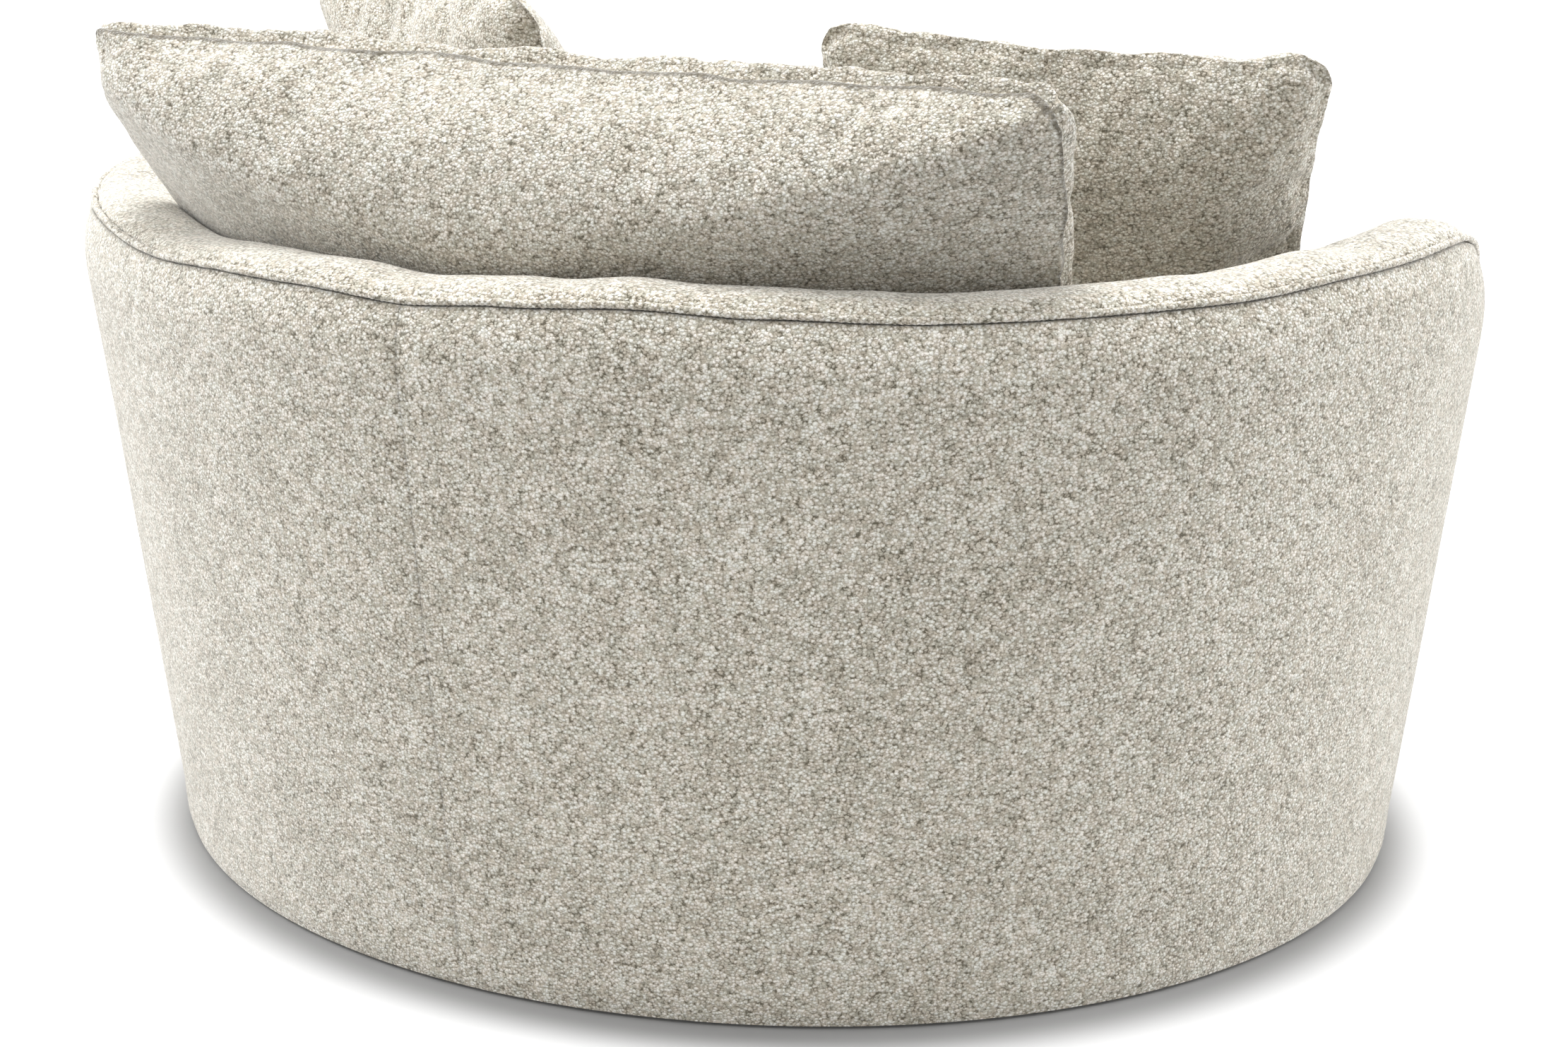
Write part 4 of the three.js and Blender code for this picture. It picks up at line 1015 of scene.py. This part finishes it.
def bent_along_back(piece, matrix):
    """Bends a cushion forwards where the tub's back is in its way; above the rim it leans out again."""
    for vertex in piece.data.vertices:
        point = matrix @ vertex.co
        behind = matrix @ Vector((vertex.co.x, abs(vertex.co.y), vertex.co.z))
        angle = math.atan2(behind.x, behind.y) / DEGREE
        above = behind.z - rim_at(angle) + 0.010
        in_front = eased(((-0.050, 1), (0, 0)), vertex.co.y)
        gradual = (above + math.sqrt(above * above + 0.0081)) / 2
        # The back face leans out only above the rim, and the front face more and more all the way up
        overhang = LEAN_OVER_RIM * (max(0, above) * (1 - in_front) + gradual * in_front)
        wide, deep = room_at(behind.z, overhang)
        sideways = 0.50 * eased(((-0.40, 1), (-0.10, 0)), behind.x)
        way = Vector((sideways, -1, 0)).normalized()
        # How far to go along way until the point behind lies on the room's oval
        square = (way.x / wide) ** 2 + (way.y / deep) ** 2
        half = behind.x * way.x / wide ** 2 + behind.y * way.y / deep ** 2
        rest = (behind.x / wide) ** 2 + (behind.y / deep) ** 2 - 1
        move = (-half - math.sqrt(max(0, half * half - square * rest))) / square
        soft = 0.010
        move = (move + math.sqrt(move * move + soft * soft)) / 2
        through = max(-1, min(1, vertex.co.y / 0.04))
        vertex.co = rested_on_seat(point + way * move * (0.92 + 0.08 * through))
    return piece


def make_back_cushion():
    reach = BACK_FILLING_REACH
    cushion = sewn_form("back_cushion", BACK_WIDTH + 0.006, BACK_HEIGHT + 0.006, BACK_THICKNESS - 2 * reach,
                        columns=150, rows=60, power=3.2, exponent=0.46, drawn_in=0.004,
                        radii=(0.034, 0.010))
    filled(cushion, pressure=7.5, frames=18, slack=0.014, reach=reach)
    finely_divided(cushion)
    seam_drawn_in(cushion, puffs=(0.020, 0.0012), side_share=0.75, wander=0.0080, gather=0.0018,
                  weaving=1.4)
    matrix = cushion_matrix(ROOM_HALF_WIDTH * -0.077, ROOM_HALF_DEPTH - BACK_THICKNESS / 2 + 0.020,
                            SEAT_TOP + BACK_HEIGHT / 2, turn=3, lean=8, roll=0.45)
    bent_along_back(cushion, matrix)
    dress(smoothed(cushion, 60), BACK_CLOTH, ("back_cushion",))


def make_scatter_cushions():
    reach = SCATTER_FILLING_REACH
    # Last in each row: how strong the painted seam shade is, lower on the right cushion
    for name, across, along, turn, lean, roll, seam_shade_strength in (
            ("scatter_cushion_left", 0.571, -0.019, -26, 28, 0, 0.70),
            ("scatter_cushion_right", -0.567, 0.1245, 17, 33, 4, 0.18)):
        cushion = sewn_form(name, SCATTER_SIZE + 0.002, SCATTER_SIZE - 0.008, SCATTER_THICKNESS - 2 * reach,
                            columns=80, rows=80, power=2.8, exponent=0.5, drawn_in=0.045,
                            radii=(0.028, 0.032))
        filled(cushion, pressure=4.5, frames=18, slack=0.035, reach=reach)
        finely_divided(cushion)
        seam_drawn_in(cushion, puffs=(0.0025, 0.0025), side_share=1.0, wander=0.0050, gather=0.0011,
                      seam_shade_strength=seam_shade_strength)
        on_corner = 1 + math.sin(max(0, roll) * DEGREE) / 2
        standing = SCATTER_SIZE / 2 * 0.94 * on_corner * math.cos(lean * DEGREE)
        placed(cushion, cushion_matrix(ROOM_HALF_WIDTH * across, ROOM_HALF_DEPTH * along,
                                       SEAT_TOP + standing, turn, lean, roll))
        dress(smoothed(cushion, 60), SCATTER_CLOTH, (name,))


SEAT_CORNER_ANGLE = PANEL_ANGLE + 0.56
SEAT_FRONT = half_width(SEAT_BOTTOM + SEAT_HEIGHT)


def seat_plan(angle):
    """Outline of the seat cushion: inside the tub, then out to the front between the arms' ends."""
    folded = min(angle % 360, 360 - angle % 360)
    wide, deep = seat_room()
    out = eased(((SEAT_CORNER_ANGLE, 0), (SEAT_CORNER_ANGLE + 2.2, 1)), folded)
    across = wide + (SEAT_FRONT - wide) * out
    along = deep + (SEAT_FRONT * DEPTH_SHARE - deep) * out
    return Vector((across * math.sin(angle * DEGREE), along * math.cos(angle * DEGREE), 0))


# Section of the seat cushion, from its underside over the border to the top, as shares of plan and height
SEAT_SECTION_SHARES = ((0.02, 0.0), (0.5, 0.0), (0.90, 0.0), (0.962, 0.022), (0.984, 0.085),
                       (0.979, 0.118), (0.990, 0.160), (0.9985, 0.32), (1.0, 0.50), (0.9985, 0.68),
                       (0.990, 0.835), (0.978, 0.872), (0.983, 0.905), (0.972, 0.955), (0.93, 0.985),
                       (0.86, 1.0), (0.70, 1.0), (0.50, 1.0), (0.30, 1.0), (0.12, 1.0), (0.02, 1.0))
SEAT_SEAMS = ((0.979, 0.118), (0.978, 0.872))


def make_seat_cushion():
    rows = 140
    section = line_through(SEAT_SECTION_SHARES, rows + 1)

    def place(u, v):
        angle = 360 * u
        scale, up = section[round(v * rows)]
        edge = seat_plan(angle)
        x, y = edge.x * scale, edge.y * scale
        z = SEAT_BOTTOM + (seat_top_at(x, y) - SEAT_BOTTOM) * up
        soft = 0.0022 * undulation(x, y, 0, 0.13, 17) * (up > 0.98)
        # Painted shade along the seat cushion's two seams
        depth = max(seam_shade(math.hypot((scale - out) * 0.55, (up - rise) * SEAT_HEIGHT), 0.0035)
                    for out, rise in SEAT_SEAMS)
        return Vector((x, y, z + soft)), 0.85 * depth
    cushion = laid_grid("seat_cushion", 300, rows, place, round_u=True)
    ends_filled(cushion)
    dress(smoothed(cushion, 60), SEAT_CLOTH, ("seat_cushion",))


# Camera, lights and floor. The camera was fitted to the photo's outline.
CAMERA_PLACE = Vector((-1.350, 2.435, 1.077))
LOOK_ACROSS = Vector((0.4848, -0.8746, 0))
LOOK_DOWN = 16.08
LENS = 66.6
SENSOR = 36.0
FRAME_SHIFT = 0.00296
STUDIO_STRENGTH = 0.56
# The floor's colour as lit, and the darker colour that the camera sees, which a painted glow lifts to white
# away from the chair
FLOOR_COLOUR = (0.62, 0.62, 0.62, 1)
SEEN_FLOOR_COLOUR = (0.30, 0.30, 0.30, 1)
SHADOW_SHIFT = (0.0145, -0.0262, 0)


def make_camera():
    data = bpy.data.cameras.new("camera")
    data.lens = LENS
    data.sensor_width = SENSOR
    data.sensor_fit = "HORIZONTAL"
    data.shift_x = FRAME_SHIFT
    camera = bpy.data.objects.new("camera", data)
    bpy.context.scene.collection.objects.link(camera)
    camera.location = CAMERA_PLACE
    direction = LOOK_ACROSS * math.cos(LOOK_DOWN * DEGREE) - Vector((0, 0, math.sin(LOOK_DOWN * DEGREE)))
    camera.rotation_euler = direction.to_track_quat("-Z", "Y").to_euler()
    bpy.context.scene.camera = camera


def soft_box(name, place, target, size, power):
    data = bpy.data.lights.new(name, "AREA")
    data.shape = "RECTANGLE"
    data.size, data.size_y = size
    data.energy = power
    lamp = bpy.data.objects.new(name, data)
    bpy.context.scene.collection.objects.link(lamp)
    lamp.location = place
    lamp.rotation_euler = (Vector(target) - Vector(place)).to_track_quat("-Z", "Y").to_euler()
    lamp.visible_camera = False


def make_lights():
    """A white studio, dimmer for what it lights than for what sees it, and four soft boxes."""
    world = bpy.data.worlds.new("studio")
    bpy.context.scene.world = world
    world.use_nodes = True
    tree = world.node_tree
    background = tree.nodes["Background"]
    rays = add(tree, "ShaderNodeLightPath")
    seen = maths(tree, "MAXIMUM", rays.outputs["Is Camera Ray"], rays.outputs["Is Glossy Ray"])
    seen = maths(tree, "MAXIMUM", seen, rays.outputs["Is Transmission Ray"])
    strength = ranged(tree, seen, 0, 1, STUDIO_STRENGTH, 1.0, smooth=False)
    background.inputs["Color"].default_value = (1, 1, 1, 1)
    tree.links.new(strength, background.inputs["Strength"])
    soft_box("overhead", place=(0.1, 0.2, 2.9), target=(0, 0.1, 0.5), size=(2.0, 1.6), power=74)
    soft_box("behind", place=(-0.4, 2.7, 3.3), target=(-0.1, 0.3, 0.5), size=(2.2, 1.6), power=44)
    soft_box("left_side", place=(3.0, 0.7, 1.2), target=(0.3, 0.1, 0.4), size=(1.6, 2.2), power=86)
    soft_box("right_side", place=(-2.5, -1.7, 1.2), target=(-0.3, -0.1, 0.4), size=(1.4, 2.0), power=80)


def make_floor():
    """A floor with the chair's rendered shadow close to it, its edge set by a painted glow that rises away
    from the base's oval, white further off, and clear from below.
    """
    nothing_selected()
    bpy.ops.mesh.primitive_plane_add(size=24, location=(0, 0, 0))
    floor = bpy.context.object
    floor.name = "studio_floor"
    material = bpy.data.materials.new("studio_floor")
    material.use_nodes = True
    tree = material.node_tree
    tree.nodes.remove(tree.nodes["Principled BSDF"])
    rays = add(tree, "ShaderNodeLightPath")
    colour = mixed(tree, rays.outputs["Is Camera Ray"], FLOOR_COLOUR, SEEN_FLOOR_COLOUR)
    matte = add(tree, "ShaderNodeBsdfDiffuse", sockets=(("Color", colour),))
    spot = add(tree, "ShaderNodeTexCoord").outputs["Object"]
    base = (1 / BASE_HALF_WIDTH, 1 / (BASE_HALF_WIDTH * DEPTH_SHARE), 0)
    shifted = add(tree, "ShaderNodeVectorMath", operation="ADD",
                  sockets=((0, spot), (1, SHADOW_SHIFT))).outputs[0]
    shares = add(tree, "ShaderNodeVectorMath", operation="MULTIPLY",
                 sockets=((0, shifted), (1, base))).outputs[0]
    away = add(tree, "ShaderNodeVectorMath", operation="LENGTH", sockets=((0, shares),)).outputs["Value"]
    # Painted light: a glow seen only by the camera, faint at the base's oval and rising outwards, shaping
    # where the shadow ends
    painted_floor_glow = maths(tree, "ADD", ranged(tree, away, 0.965, 1.085, 0.03, 0.76),
                 ranged(tree, away, 1.1, 2.0, 0.0, 0.30))
    painted_floor_glow = maths(tree, "MULTIPLY", rays.outputs["Is Camera Ray"], painted_floor_glow)
    glow = add(tree, "ShaderNodeEmission", sockets=(("Color", (1, 1, 1, 1)), ("Strength", painted_floor_glow)))
    both = add(tree, "ShaderNodeAddShader", sockets=((0, matte.outputs[0]), (1, glow.outputs[0])))
    under = add(tree, "ShaderNodeNewGeometry").outputs["Backfacing"]
    clear = tree.nodes.new("ShaderNodeBsdfTransparent").outputs[0]
    shown = add(tree, "ShaderNodeMixShader", sockets=((0, under), (1, both.outputs[0]), (2, clear)))
    tree.links.new(shown.outputs[0], tree.nodes["Material Output"].inputs["Surface"])
    floor.data.materials.append(material)


make_camera()
finish_cad_nodes()
make_outer_covers()
make_rim_band()
make_welts()
make_inside_cover()
make_arm_panels()
make_front()
make_platform_cloths()
make_seat_cushion()
make_back_cushion()
make_scatter_cushions()
make_floor()
make_lights()

bpy.context.scene.view_settings.view_transform = "Standard"
